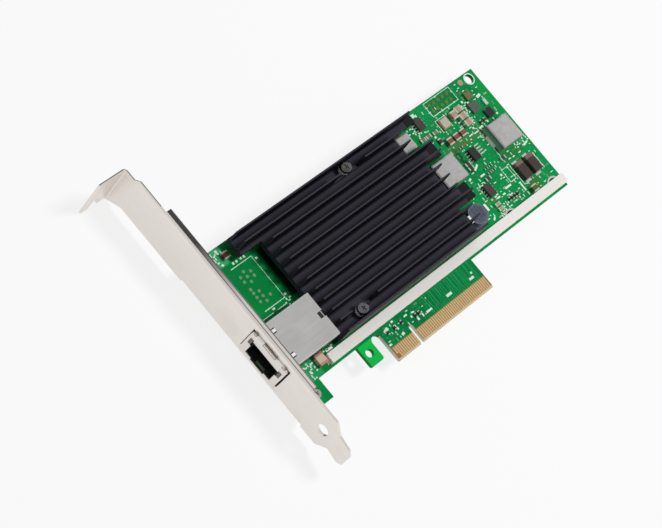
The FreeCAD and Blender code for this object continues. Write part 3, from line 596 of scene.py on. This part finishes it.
def springTree():  # coil springs on points
    g = Growth("coils", Radius="Float", Wire="Float", Height="Float", Turns="Float")
    radius = g.given["Radius"]
    coil = g.add("CurveSpiral", {"Resolution": 32, "Rotations": g.given["Turns"], "Start Radius": radius,
                                 "End Radius": radius, "Height": g.given["Height"]})
    section = g.add("CurvePrimitiveCircle", {"Resolution": 10, "Radius": g.given["Wire"]})
    return g.onPoints(g.sweep(coil, section))


def copyTree():  # one made piece set on each point
    g = Growth("copies", Piece="Object")
    return g.onPoints(g.add("ObjectInfo", {"Object": g.given["Piece"]}, "Geometry"))


trees = {"bar": barTree(), "disc": discTree(), "ring": ringTree(), "route": routeTree(), "fin": finTree(),
         "spring": springTree(), "copy": copyTree()}
print("trees made:", len(trees))


# heatsink: plate with its bays, fins grown on it
sinkShape = {"baseTop": 5.0, "root": finSpacing["root"], "tip": 0.7, "tipRound": 0.22, "sunk": 0.4,
             "edge": 0.18, "left": -29.3, "stepY": 60.9, "toe": 4.5, "topShift": 0.4,
             "bays": [(44.0, 55.3, 63.9), (48.0, 36.1, 48.5), (46.7, 17.8, 29.3)],
             "pockets": [(1, -23.2, -9.8), (10, 10.0, 23.4)]}


def finRuns():
    s = sinkShape
    low, high = (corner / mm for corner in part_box("heatsink"))
    pitch = finPitch(*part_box("heatsink")) / mm
    runs = []
    for n in range(finSpacing["count"]):
        y = low.y + s["root"] / 2 + pitch * n - (s["topShift"] if n == finSpacing["count"] - 1 else 0.0)
        start = low.x if y > s["stepY"] else s["left"]
        end = high.x - s["toe"]
        for bayX, bayLow, bayHigh in s["bays"]:
            if bayLow - s["root"] / 2 < y < bayHigh + s["root"] / 2:
                end = min(end, bayX)
        gaps = [(a, b) for number, a, b in s["pockets"] if number == n]
        for a, b in gaps:
            runs.append((start, a, y))
            start = b
        runs.append((start, end, y))
    return runs


def heatsink():
    s = sinkShape
    low, high = (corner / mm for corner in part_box("heatsink"))
    outline = [(s["left"], low.y), (s["left"], s["stepY"]), (low.x, s["stepY"]), (low.x, high.y),
               (high.x, high.y)]
    for bayX, bayLow, bayHigh in s["bays"]:
        outline += [(high.x, bayHigh), (bayX, bayHigh), (bayX, bayLow), (high.x, bayLow)]
    shape = bmesh.new()
    lower = [shape.verts.new(Vector((x, y, low.z)) * mm) for x, y in outline[:-1]]
    face = shape.faces.new(lower)
    grown = bmesh.ops.extrude_face_region(shape, geom=[face])
    bmesh.ops.translate(shape, verts=[v for v in grown["geom"] if isinstance(v, bmesh.types.BMVert)],
                        vec=(0, 0, (s["baseTop"] - low.z) * mm))
    bmesh.ops.recalc_face_normals(shape, faces=shape.faces)
    markEdges(shape, s["edge"])
    plate = addShape("heatsinkPlate", shape)
    edgeBreak(plate, s["edge"])
    settle(plate)
    dress(plate, finishes["black_anodise"])
    keep(plate, "black_anodise", "heatsink")
    runs = finRuns()
    tall = high.z - s["baseTop"] + s["sunk"]
    middle = high.z - tall / 2
    fins = grow("heatsinkFins", seeds("fins", [(a, y, middle) for a, b, y in runs],
                                      run=[(1, 1, (b - a) * mm) for a, b, y in runs]),
                "fin", "black_anodise", Root=s["root"], Tip=s["tip"], Height=tall, Round=s["tipRound"])
    smooth(fins.data)
    keep(fins, "black_anodise", "heatsink")
    print("heatsink fins:", len(runs), "runs")


heatsink()


# screws with a cross recess, and the springs below two of them
barHoles = [(93.3, 15.35), (67.6, 15.35)]


def cornersOf(node, inset):  # two round pieces of a node lie at opposite corners of its box
    low, high = (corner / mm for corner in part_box(node))
    return [(low.x + inset, low.y + inset), (high.x - inset, high.y - inset)]


screwKinds = {
    "heatsinkScrews": {"node": "heatsink_screws", "slot": "dark_steel", "headRadius": 2.35, "headLow": 7.4,
                       "headTop": 8.6, "shank": 1.3, "shankEnd": -3.77, "dome": 0.35, "cross": 1.35,
                       "crossWide": 0.42, "crossDeep": 0.75, "places": cornersOf("heatsink_screws", 2.35)},
    "bracketScrews": {"node": "bracket_screws", "slot": "fastener_steel", "headRadius": 1.9, "headLow": 0.0,
                      "headTop": 1.1, "shank": 1.2, "shankEnd": -2.57, "dome": 0.5, "cross": 1.1,
                      "crossWide": 0.36, "crossDeep": 0.65, "places": [(-48.5, 8.9), (-48.5, 62.0)]},
    "stiffenerScrews": {"node": "stiffener_screws", "slot": "fastener_steel", "headRadius": 2.7,
                        "headLow": boardBack, "headTop": -2.37, "shank": 1.2, "shankEnd": 1.0, "dome": 0.3,
                        "cross": 1.3, "crossWide": 0.42, "crossDeep": 0.5, "places": barHoles},
}
screwForm = {"sides": 40, "tipChamfer": 0.2, "underLip": 0.08, "flatShare": 0.62, "domeSteps": 6,
             "taper": 0.45, "narrow": 0.7, "over": 0.3, "turn": 0.4, "merge": 0.001, "degrees": 32}


def screw(name, s):
    t = screwForm
    up = 1 if s["headTop"] > s["headLow"] else -1
    rim = s["headTop"] - up * s["dome"]
    profile = [(0, s["shankEnd"]), (s["shank"] - t["tipChamfer"], s["shankEnd"]),
               (s["shank"], s["shankEnd"] + up * t["tipChamfer"]), (s["shank"], s["headLow"]),
               (s["headRadius"] - t["underLip"], s["headLow"]),
               (s["headRadius"], s["headLow"] + up * t["underLip"])]
    flat = s["headRadius"] * t["flatShare"]
    for n in range(t["domeSteps"] + 1):  # quarter of a flat dome
        turn = math.pi / 2 * n / t["domeSteps"]
        profile.append((flat + (s["headRadius"] - flat) * math.cos(turn),
                        rim + up * s["dome"] * math.sin(turn)))
    profile.append((0, s["headTop"]))
    shape = bmesh.new()
    chain = [shape.verts.new((r * mm, 0, z * mm)) for r, z in profile]
    edges = [shape.edges.new(pair) for pair in zip(chain, chain[1:])]
    bmesh.ops.spin(shape, geom=chain + edges, axis=(0, 0, 1), cent=(0, 0, 0), angle=math.tau,
                   steps=t["sides"])
    bmesh.ops.remove_doubles(shape, verts=shape.verts, dist=t["merge"] * mm)
    bmesh.ops.recalc_face_normals(shape, faces=shape.faces)
    blank = addShape(name + "Blank", shape)
    cutter = bmesh.new()
    for turn in (0, math.pi / 2):
        made = bmesh.ops.create_cube(cutter, size=1.0)["verts"]
        for v in made:
            deep = v.co.z * up < 0
            long = 2 * s["cross"] * (t["taper"] if deep else 1.0)
            wide = s["crossWide"] * (t["narrow"] if deep else 1.0)
            v.co = Vector((v.co.x * long, v.co.y * wide,
                           s["headTop"] + up * (-s["crossDeep"] if deep else t["over"]))) * mm
        bmesh.ops.rotate(cutter, verts=made, matrix=Matrix.Rotation(turn + t["turn"], 3, "Z"))
    bmesh.ops.recalc_face_normals(cutter, faces=cutter.faces)
    tool = addShape(name + "Tool", cutter)
    recess = blank.modifiers.new("recess", "BOOLEAN")
    recess.operation = "DIFFERENCE"
    recess.solver = "EXACT"
    recess.use_self = True
    recess.object = tool
    settle(blank)
    bpy.data.objects.remove(tool)
    smooth(blank.data, t["degrees"])
    made = grow(name, seeds(name, [(x, y, 0) for x, y in s["places"]]), "copy", s["slot"], {"Piece": blank})
    bpy.data.objects.remove(blank)
    return keep(made, s["slot"], s["node"])


for kind, settings in screwKinds.items():
    screw(kind, settings)

springShape = {"radius": 1.8, "wire": 0.25, "low": 5.3, "high": 7.1, "turns": 3.5}


def coilSprings():
    s = springShape
    seats = [(x, y, s["low"]) for x, y in screwKinds["heatsinkScrews"]["places"]]
    # painted glints: the springs take the pale white finish
    springs = grow("heatsinkSprings", seeds("springs", seats), "spring", "pale_tab", {"Turns": s["turns"]},
                   Radius=s["radius"], Wire=s["wire"], Height=s["high"] - s["low"])
    smooth(springs.data)
    keep(springs, "fastener_steel", "heatsink_springs")


coilSprings()
print("screws and springs made")


# sheet pieces and blocks with their edges broken: name, width, slot, smooth or not, how far along X
easedPieces = {"bracket": ("bracketSheet", 0.14, "bracket_steel", False, -58.2),
               "stiffener_bar": ("stiffenerBar", 0.16, "bar_aluminium"),
               "jack_shield": ("jackShield", 0.05, "shield_steel"),
               "power_inductor_inner": ("innerInductor", 0.12, "iron_powder"),
               "power_inductor_outer": ("outerInductor", 0.12, "iron_powder"),
               "filter_inductor": ("filterInductor", 0.12, "iron_powder"),
               "drum_inductor_core": ("drumCore", 0.08, "ferrite"),
               "polymer_capacitor_inner": ("innerPolymer", 0.07, "polymer_case"),
               "polymer_capacitor_outer": ("outerPolymer", 0.07, "polymer_case")}
for node, settings in easedPieces.items():
    eased(node, *settings)

slotOf = {row["node"]: row["material_slot"] for row in frame["record"]["subparts"]}
# painted highlight: the drum's clips take the pale white finish
paintedHighlightFinish = {"drum_inductor_clips": "pale_tab"}
for node, made in nodes.items():
    if node in slotOf:
        dress(made, finishes[paintedHighlightFinish.get(node, slotOf[node])])
print("edges broken on", len(easedPieces), "pieces; plain nodes dressed:", len(slotOf))


# marks on the board
lift = 0.012  # from a face of the board to the middle of a mark on it
silkShape = {"width": 0.34, "thickness": 0.024}
silkPaths = [
    [(68.8, 62.2), (83.5, 62.2), (83.5, 68.2), (68.8, 68.2), (68.8, 62.2)],
    [(-43.0, 59.5), (-33.0, 59.5), (-33.0, 41.3), (-43.0, 41.3)],
    [(-46.0, 39.3), (-40.6, 39.3)], [(-38.6, 39.3), (-34.0, 39.3)],
    [(81.4, 33.0), (81.4, 49.4), (79.6, 50.2)],
    [(77.4, 26.0), (80.6, 26.0), (80.6, 31.5), (77.4, 31.5), (77.4, 26.0)],
    [(81.9, 31.2), (81.9, 22.4), (84.0, 21.6)], [(94.6, 22.8), (94.6, 30.0)],
    [(67.9, 55.2), (67.9, 60.4), (73.3, 60.4), (73.3, 55.2)],
    [(57.4, 20.0), (57.4, 28.4)], [(94.6, 36.6), (95.4, 36.6), (95.4, 48.0), (94.6, 48.0)],
]


def polylines(name, paths, z):
    verts, edges = [], []
    for path in paths:
        first = len(verts)
        verts += [Vector((x, y, z)) * mm for x, y in path]
        edges += [(n, n + 1) for n in range(first, len(verts) - 1)]
    mesh = bpy.data.meshes.new(name)
    mesh.from_pydata(verts, edges, [])
    return mesh


silk = grow("silkOutlines", polylines("silkOutlines", silkPaths, lift), "route", "silk",
            Width=silkShape["width"], Thickness=silkShape["thickness"])
keep(silk, "solder_mask")

ringPads = {"inner": 2.15, "bright": 2.7, "outer": 3.45, "frontEdge": 13.6, "backEdge": 12.56,
            "thickness": 0.05, "sides": 56}


def ringPad(shape, x, y, z, inner, outer, edge):  # a flat ring, cut straight along one edge
    s = ringPads
    rows = []
    for n in range(s["sides"]):
        turn = math.tau * n / s["sides"]
        for radius in (inner, outer):
            py = max(y + radius * math.sin(turn), edge)
            for dz in (0, s["thickness"]):
                rows.append(shape.verts.new(Vector((x + radius * math.cos(turn), py, z + dz)) * mm))
    count = len(rows)
    for n in range(s["sides"]):
        a = rows[4 * n: 4 * n + 4]
        b = [rows[(4 * n + 4 + k) % count] for k in range(4)]
        for p, q in ((0, 1), (1, 3), (3, 2), (2, 0)):
            shape.faces.new((a[p], a[q], b[q], b[p]))


def barPads(name, slotName, finishName, front, back):
    s = ringPads
    rings = bmesh.new()
    for x, y in barHoles:
        ringPad(rings, x, y, 0, *front, s["frontEdge"])
        if back:
            ringPad(rings, x, y, boardBack - s["thickness"], *back, s["backEdge"])
    bmesh.ops.recalc_face_normals(rings, faces=rings.faces)
    made = addShape(name, rings)
    dress(made, finishes[finishName])
    keep(made, slotName)


barPads("barRings", "tin_plate", "tin_plate", (ringPads["bright"], ringPads["outer"]),
        (ringPads["inner"], ringPads["outer"]))
barPads("barRingShade", "solder_mask", "hole", (ringPads["inner"], ringPads["bright"]), None)
print("outlines and ring pads laid")


# free places on the board, found by looking straight at it
corners, facets = [], []
for part in nodes.values():
    first = len(corners)
    corners += [v.co for v in part.data.vertices]
    facets += [[first + i for i in p.vertices] for p in part.data.polygons]
shown = BVHTree.FromPolygons(corners, facets)
probe = {"height": 30.0, "directions": 8, "tolerance": 0.02}


def bare(x, y, reach, side=1):
    level = 0.0 if side > 0 else boardBack
    count = probe["directions"]
    for n in range(count + 1):
        turn = math.tau * n / count
        far = reach if n < count else 0.0
        point = Vector((x + far * math.cos(turn), y + far * math.sin(turn), probe["height"] * side)) * mm
        hit = shown.ray_cast(point, Vector((0, 0, -side)))[0]
        if hit is None or abs(hit.z / mm - level) > probe["tolerance"]:
            return False
    return True


triesPerMark = 40
markSpacing = 2.1  # in reaches, from the middle of one mark to the next


def scatter(draw, area, count, reach, side=1, taken=None):
    x0, x1, y0, y1 = area
    found = taken if taken is not None else []
    first = len(found)
    left = count * triesPerMark
    while left and len(found) - first < count:
        left -= 1
        x, y = draw.uniform(x0, x1), draw.uniform(y0, y1)
        clear = all((x - a) ** 2 + (y - b) ** 2 > (markSpacing * reach) ** 2 for a, b in found)
        if clear and bare(x, y, reach, side):
            found.append((x, y))
    return found[first:]


# rows of x, y, length, width and, for turned marks, degrees
def flatMarks(name, slotName, finishName, rows, z=lift, thickness=0.03):
    points = seeds(name, [(row[0], row[1], z) for row in rows],
                   turn=[math.radians(sum(row[4:])) for row in rows],
                   reach=[(row[2], row[3], 1) for row in rows])
    return keep(grow(name, points, "bar", finishName, Length=1, Width=1, Thickness=thickness), slotName)


def flatRounds(name, slotName, finishName, places, radius, width=None, z=lift, thickness=0.03, sides=18):
    points = seeds(name, [(x, y, z) for x, y in places])
    lengths = {"Radius": radius, "Thickness": thickness}
    if width:
        lengths["Width"] = width
    made = grow(name, points, "ring" if width else "disc", finishName, {"Sides": sides}, **lengths)
    return keep(made, slotName)


# pads and marks whose places are known
fieldMarks = [
    (61.5, 66.8, 1.5, 1.5), (69.0, 37.9, 3.0, 0.8, 28), (63.0, 35.6, 1.4, 0.8, 20), (69.0, 34.2, 2.4, 0.7),
    (74.9, 25.3, 3.4, 0.8), (75.9, 30.2, 0.9, 0.9), (80.5, 22.0, 0.7, 3.6), (92.2, 59.0, 2.2, 1.1, 10),
    (84.0, 60.5, 0.9, 0.9), (93.8, 49.6, 0.9, 0.8), (87.7, 49.3, 0.8, 0.8), (77.0, 48.6, 2.0, 0.5),
    (80.0, 48.3, 2.2, 0.5), (83.4, 48.8, 2.2, 0.9), (96.3, 42.2, 1.4, 2.2), (84.2, 33.2, 1.2, 0.5),
    (86.4, 33.0, 1.2, 0.5), (90.0, 33.0, 1.4, 0.5), (94.8, 34.3, 2.2, 0.8, 15), (63.4, 55.6, 0.9, 0.8),
    (68.2, 24.2, 1.6, 0.7), (71.2, 24.0, 1.4, 0.7), (60.2, 19.0, 1.6, 0.7, 35), (62.6, 66.0, 0.8, 1.4)]
leadPads = [(76.0, y, 2.4, 0.55) for y in (44.7, 43.4, 42.15, 40.9)]
endPads = [(84.5, 31.0, 2.6, 0.9), (84.6, 22.5, 2.8, 0.9), (90.7, 31.0, 2.4, 0.9), (90.4, 22.5, 2.8, 0.9)]
tongueMarks = [
    (-9.2, 11.2, 2.4, 1.2, 20), (-5.0, 12.4, 1.0, 0.7), (-4.7, 9.3, 0.7, 1.0), (-4.4, 6.7, 1.4, 1.0, 15),
    (-11.6, 6.3, 1.3, 0.7), (1.2, 11.2, 1.6, 0.6), (4.6, 10.6, 1.5, 0.6, -15), (4.8, 7.5, 0.9, 1.1),
    (10.8, 7.5, 3.0, 0.8), (22.0, 7.6, 2.8, 1.0), (34.4, 7.2, 2.4, 0.9), (35.8, 8.8, 0.8, 0.8),
    (7.4, 7.6, 0.7, 1.2), (3.0, 9.6, 0.8, 0.8)]
cornerMarks = [
    (-46.0, 67.4, 0.8, 1.3), (-46.0, 65.0, 0.8, 1.4), (-43.2, 67.4, 1.0, 1.4), (-44.4, 62.4, 1.0, 0.8),
    (-40.6, 60.9, 0.8, 0.9), (-39.0, 60.9, 0.8, 0.9), (-36.9, 61.0, 0.9, 0.9), (-35.4, 60.8, 0.8, 0.9),
    (-31.8, 57.9, 1.0, 0.8), (-32.0, 42.2, 1.2, 0.8), (-39.6, 40.3, 1.2, 0.7), (-45.5, 18.0, 1.2, 0.6, -40),
    (-44.4, 15.6, 0.8, 1.2), (-46.4, 16.2, 0.9, 0.7), (-42.4, 17.8, 0.6, 0.9), (-33.3, 18.5, 0.9, 0.5),
    (-30.8, 18.9, 0.9, 0.6), (-35.0, 18.6, 0.8, 0.5)]
olivePads = [
    (62.7, 24.5, 1.2, 0.8), (84.8, 57.1, 1.2, 1.0), (86.0, 63.6, 0.9, 0.7), (89.6, 63.4, 0.9, 0.7),
    (66.0, 24.4, 1.6, 0.7), (88.6, 35.0, 2.4, 0.6), (71.5, 47.4, 1.6, 0.6)]
flatMarks("knownMarks", "solder_mask", "silk", fieldMarks + tongueMarks + cornerMarks)
flatMarks("leadPads", "tin_plate", "tin_plate", leadPads + endPads)
flatMarks("olivePads", "tin_plate", "olive_pad", olivePads)
slotMiddle, slotHigh, slotLow = (-59.45, 28.6), (-59.4, 35.9), (-59.4, 21.4)
jackTrims = {  # slot, finish, height of the middle, thickness, rows
    "roofTabs": ("shield_steel", "pale_tab", 11.36, 0.14, [(-52.8, y, 1.5, 1.1) for y in (23.15, 33.45)]),
    "noseSlotEdges": ("shield_steel", "slot_edge", 11.34, 0.1,
                      [(*slotMiddle, 1.1, 6.4), (*slotHigh, 0.9, 1.5), (*slotLow, 0.9, 1.7)]),
    "noseSlotFills": ("shield_steel", "slot_fill", 11.37, 0.1,
                      [(*slotMiddle, 0.6, 5.8), (*slotHigh, 0.4, 1.0), (*slotLow, 0.4, 1.2)]),
    "windowGaps": ("black_moulding", "shade", 7.05, 2.4, [(-60.1, y, 0.06, 0.7) for y in (34.6, 22.0)]),
    "notchStreak": ("black_moulding", "dull_pad", 0.5, 0.06, [(-58.7, 27.6, 1.0, 4.2)]),
    # painted shade: dark strips standing in the gaps beside the jack
    "portGasket": ("black_moulding", "shade", 5.65, 12.0, [(-58.1, y, 0.4, 0.4) for y in (19.2, 37.4)]),
}
for name, (slotName, finishName, z, thickness, rows) in jackTrims.items():
    flatMarks(name, slotName, finishName, rows, z, thickness)
footprintPads = [
    (-41.9, 55.5), (-41.9, 53.5), (-39.5, 56.6), (-39.5, 54.5), (-39.5, 52.3), (-37.0, 55.4), (-37.0, 53.5),
    (-41.9, 50.2), (-41.9, 48.6), (-41.9, 46.8), (-41.9, 45.0), (-39.5, 48.2), (-39.5, 46.1), (-39.5, 44.0),
    (-36.8, 45.1)]
flatRounds("footprintPads", "tin_plate", "dull_pad", footprintPads, radius=0.62)
headerPads = [(70.8 + 2.54 * n, y) for n in range(5) for y in (63.9, 66.5)]
flatRounds("headerPads", "gold_plate", "olive_pad", headerPads, radius=0.7)
flatRounds("roundPad", "tin_plate", "tan_ceramic", [(89.5, 66.8)], radius=1.2, z=0.02)
flatRounds("cornerRing", "tin_plate", "silk", [(94.0, 66.1)], radius=2.2, width=0.5, sides=40)
print("known marks laid")

# the rest is spread over the places that are still free, no two kinds with level tops
layers = {"vias": 0.002, "oldPads": 0.004, "pads": 0.006, "ticks": 0.008, "paleTicks": 0.01}
fieldRight = (58.0, 96.5, 18.2, 68.0)
fieldTongue = (-11.5, 13.0, 6.2, 12.6)
fieldBack = (-40.0, 95.0, 18.0, 66.0)
draw = random.Random(41)
taken = [(row[0], row[1]) for row in fieldMarks + leadPads + endPads + tongueMarks + olivePads] + headerPads
# count and reach at the far end, then on the tongue
spreadMarks = {"vias": ((110, 0.42), (24, 0.42)), "ticks": ((110, 0.6), (12, 0.5)),
               "pairs": ((60, 0.8), (8, 0.75))}


def spreadOver(kind):
    found = []
    for area, (count, reach) in zip((fieldRight, fieldTongue), spreadMarks[kind]):
        found += scatter(draw, area, count, reach, taken=taken)
    return found


vias = spreadOver("vias")
viaShape = {"radius": 0.3, "width": 0.2, "sides": 12}
flatRounds("viaRings", "solder_mask", "route", vias, z=layers["vias"], **viaShape)
ticks = spreadOver("ticks")
tickShape = {"lengths": (0.5, 1.4), "width": 0.34}


def tickRows(source, places, s):
    return [(x, y, source.uniform(*s["lengths"]), s["width"], source.choice((0, 90))) for x, y in places]


flatMarks("silkTicks", "solder_mask", "silk", tickRows(draw, ticks, tickShape), layers["ticks"])
padShape = {"length": 0.6, "width": 0.55, "gap": 0.85}


def padPairs(places):
    rows = []
    for x, y in places:
        turn = draw.choice((0, 90))
        along = (1, 0) if turn == 0 else (0, 1)
        for side in (-1, 1):
            away = side * padShape["gap"] / 2
            middle = (x + away * along[0], y + away * along[1])
            rows.append((*middle, padShape["length"], padShape["width"], turn))
    return rows


pairs = spreadOver("pairs")
flatMarks("barePads", "tin_plate", "tin_plate", padPairs(pairs[::2]), layers["pads"])
flatMarks("oldPads", "tin_plate", "dull_pad", padPairs(pairs[1::2]), layers["oldPads"])
paleSpots = [
    (56.5, 62.2), (59.4, 60.5), (76.5, 54.4), (84.4, 57.4), (76.0, 58.5), (95.4, 35.5), (92.4, 36.6),
    (74.9, 20.8), (65.6, 30.2), (82.2, 47.2), (-32.6, 39.2), (-43.0, 18.0), (-43.5, 14.5), (-43.5, 65.0),
    (81.0, 52.0), (68.6, 20.4), (65.6, 18.9), (66.6, 26.0)]
spotShape = {"half": 1.9, "count": 6, "reach": 0.4, "lengths": (0.6, 1.1), "width": 0.5}
spotDraw = random.Random(17)
spots = []
for x, y in paleSpots:
    far = spotShape["half"]
    area = (x - far, x + far, y - far, y + far)
    spots += scatter(spotDraw, area, spotShape["count"], spotShape["reach"], taken=taken)
flatMarks("paleTicks", "solder_mask", "silk", tickRows(spotDraw, spots, spotShape), layers["paleTicks"])
flatMarks("barEndPads", "tin_plate", "pale_tab", [(-36.4, 15.4, 0.8, 3.0), (-32.6, 18.1, 3.2, 1.0)])
print("spread marks laid:", len(vias), len(ticks), len(pairs), len(spots))

# solder side
backZ = boardBack - lift
backSpread = {"vias": 260, "viaReach": 0.5, "pairs": 90, "pairReach": 0.9}
backVias = scatter(draw, fieldBack, backSpread["vias"], backSpread["viaReach"], -1)
flatRounds("backVias", "solder_mask", "route", backVias, radius=0.32, width=0.22, z=backZ,
           sides=12)
backPairs = scatter(draw, fieldBack, backSpread["pairs"], backSpread["pairReach"], -1, list(backVias))
flatMarks("backPads", "tin_plate", "tin_plate", padPairs(backPairs), backZ)
pinRows = {"x": (-51.1, -48.56), "first": (22.72, 23.73), "pitch": 2.03, "count": 6}
pinPlaces = [(x, first + pinRows["pitch"] * n) for x, first in zip(pinRows["x"], pinRows["first"])
             for n in range(pinRows["count"])]
flatRounds("pinRings", "tin_plate", "tin_plate", pinPlaces, radius=0.58, width=0.4, z=backZ,
           sides=20)
print("solder side laid:", len(backVias), len(backPairs))

routeShape = {"width": 0.2, "thickness": 0.02, "first": 7.4, "pitch": 1.0, "count": 31, "low": 5.2,
              "high": 13.0, "bends": (6.4, 9.2), "shift": 0.35, "z": 0.008}


def edgeRoutes():
    s = routeShape
    laneDraw = random.Random(7)
    lanes = []
    for n in range(s["count"]):
        x = s["first"] + s["pitch"] * n
        bend = laneDraw.uniform(*s["bends"])
        shift = laneDraw.choice((-s["shift"], 0.0, s["shift"]))
        lanes.append([(x, s["low"]), (x, bend), (x + shift, bend + abs(shift)), (x + shift, s["high"])])
    strips = grow("edgeRoutes", polylines("edgeRoutes", lanes, s["z"]), "route", "route", Width=s["width"],
                  Thickness=s["thickness"])
    keep(strips, "solder_mask")
    print("routes laid:", len(lanes))


edgeRoutes()


# stage, lamp and camera
stageLook = {"floor": (0.85, 0.85, 0.85), "glow": 0.82, "reach": 6.0, "drop": 0.0003, "ambient": 0.3,
             "overhead": 0.72}


def rayKinds(f):  # one wire each: seen by the camera, mirrored, through something clear
    labels = ("Is Camera Ray", "Is Glossy Ray", "Is Transmission Ray")
    return [f.add("LightPath", output=label) for label in labels]


def floorPaint():
    f = Finish("floorPaint")
    direct, glossy, clear = rayKinds(f)
    seen = direct + glossy + clear
    share = seen.maths("MINIMUM", seen, 1.0) * stageLook["glow"]
    f.finish(colour=stageLook["floor"], roughness=1.0, specular=0.0)
    glow = f.add("Emission", {"Color": (1, 1, 1), "Strength": 1.0})
    both = f.add("MixShader", {0: share, 1: Wire(f, f.shader.outputs[0]), 2: glow})
    f.plug(f.tree.nodes["Material Output"].inputs["Surface"], both)
    return f.material


floorMesh = bpy.data.meshes.new("floor")
half = stageLook["reach"] / 2
floorZ = cadLow.z - stageLook["drop"]
floorCorners = [(x, y, floorZ) for x, y in ((-half, -half), (half, -half), (half, half), (-half, half))]
floorMesh.from_pydata(floorCorners, [], [(0, 1, 2, 3)])
floor = addObject("floor", floorMesh)
dress(floor, floorPaint())


def studioSky():
    f = Finish("studio", bpy.data.worlds, "Background")
    direct, glossy, clear = rayKinds(f)
    above = f.add("SeparateXYZ", {"Vector": f.add("TexCoord", output="Generated")}, "Z")
    mirrored = 1.0 - (1.0 - stageLook["overhead"]) * f.span(above, 0.1, 0.8)
    shine = glossy + clear
    eyeOrShine = shine.maths("MINIMUM", direct + shine, 1.0)
    strength = direct + shine * mirrored + (1.0 - eyeOrShine) * stageLook["ambient"]
    f.plug(f.shader.inputs["Color"], (1, 1, 1))
    f.plug(f.shader.inputs["Strength"], strength)
    scene.world = f.material


studioSky()

keyLight = {"at": (0.46, -0.22, 1.15), "size": 0.3, "power": 10.4}
light = bpy.data.lights.new("keyLamp", "AREA")
light.size = keyLight["size"]
light.energy = keyLight["power"]
lamp = addObject("keyLamp", light)
lamp.location = keyLight["at"]
lamp.visible_glossy = False
lamp.rotation_mode = "QUATERNION"
lamp.rotation_quaternion = ((cadLow + cadHigh) / 2 - lamp.location).to_track_quat("-Z", "Y")

eye = {"at": (-479.846, -20.312, 647.559), "right": (0.651918, -0.635578, 0.413575),
       "up": (0.481031, 0.768246, 0.422383), "focus": 2323.99, "frameWidth": 662, "sensor": 36.0,
       "near": 0.01}
camera = addObject("camera", bpy.data.cameras.new("camera"))
right, up = Vector(eye["right"]), Vector(eye["up"])
turned = Matrix((right, up, right.cross(up))).transposed().to_4x4()
turned.translation = Vector(eye["at"]) * mm
camera.matrix_world = turned
camera.data.sensor_width = eye["sensor"]
camera.data.lens = eye["focus"] * eye["sensor"] / eye["frameWidth"]
camera.data.clip_start = eye["near"]
scene.camera = camera
scene.view_settings.view_transform = "Standard"
print("stage set")
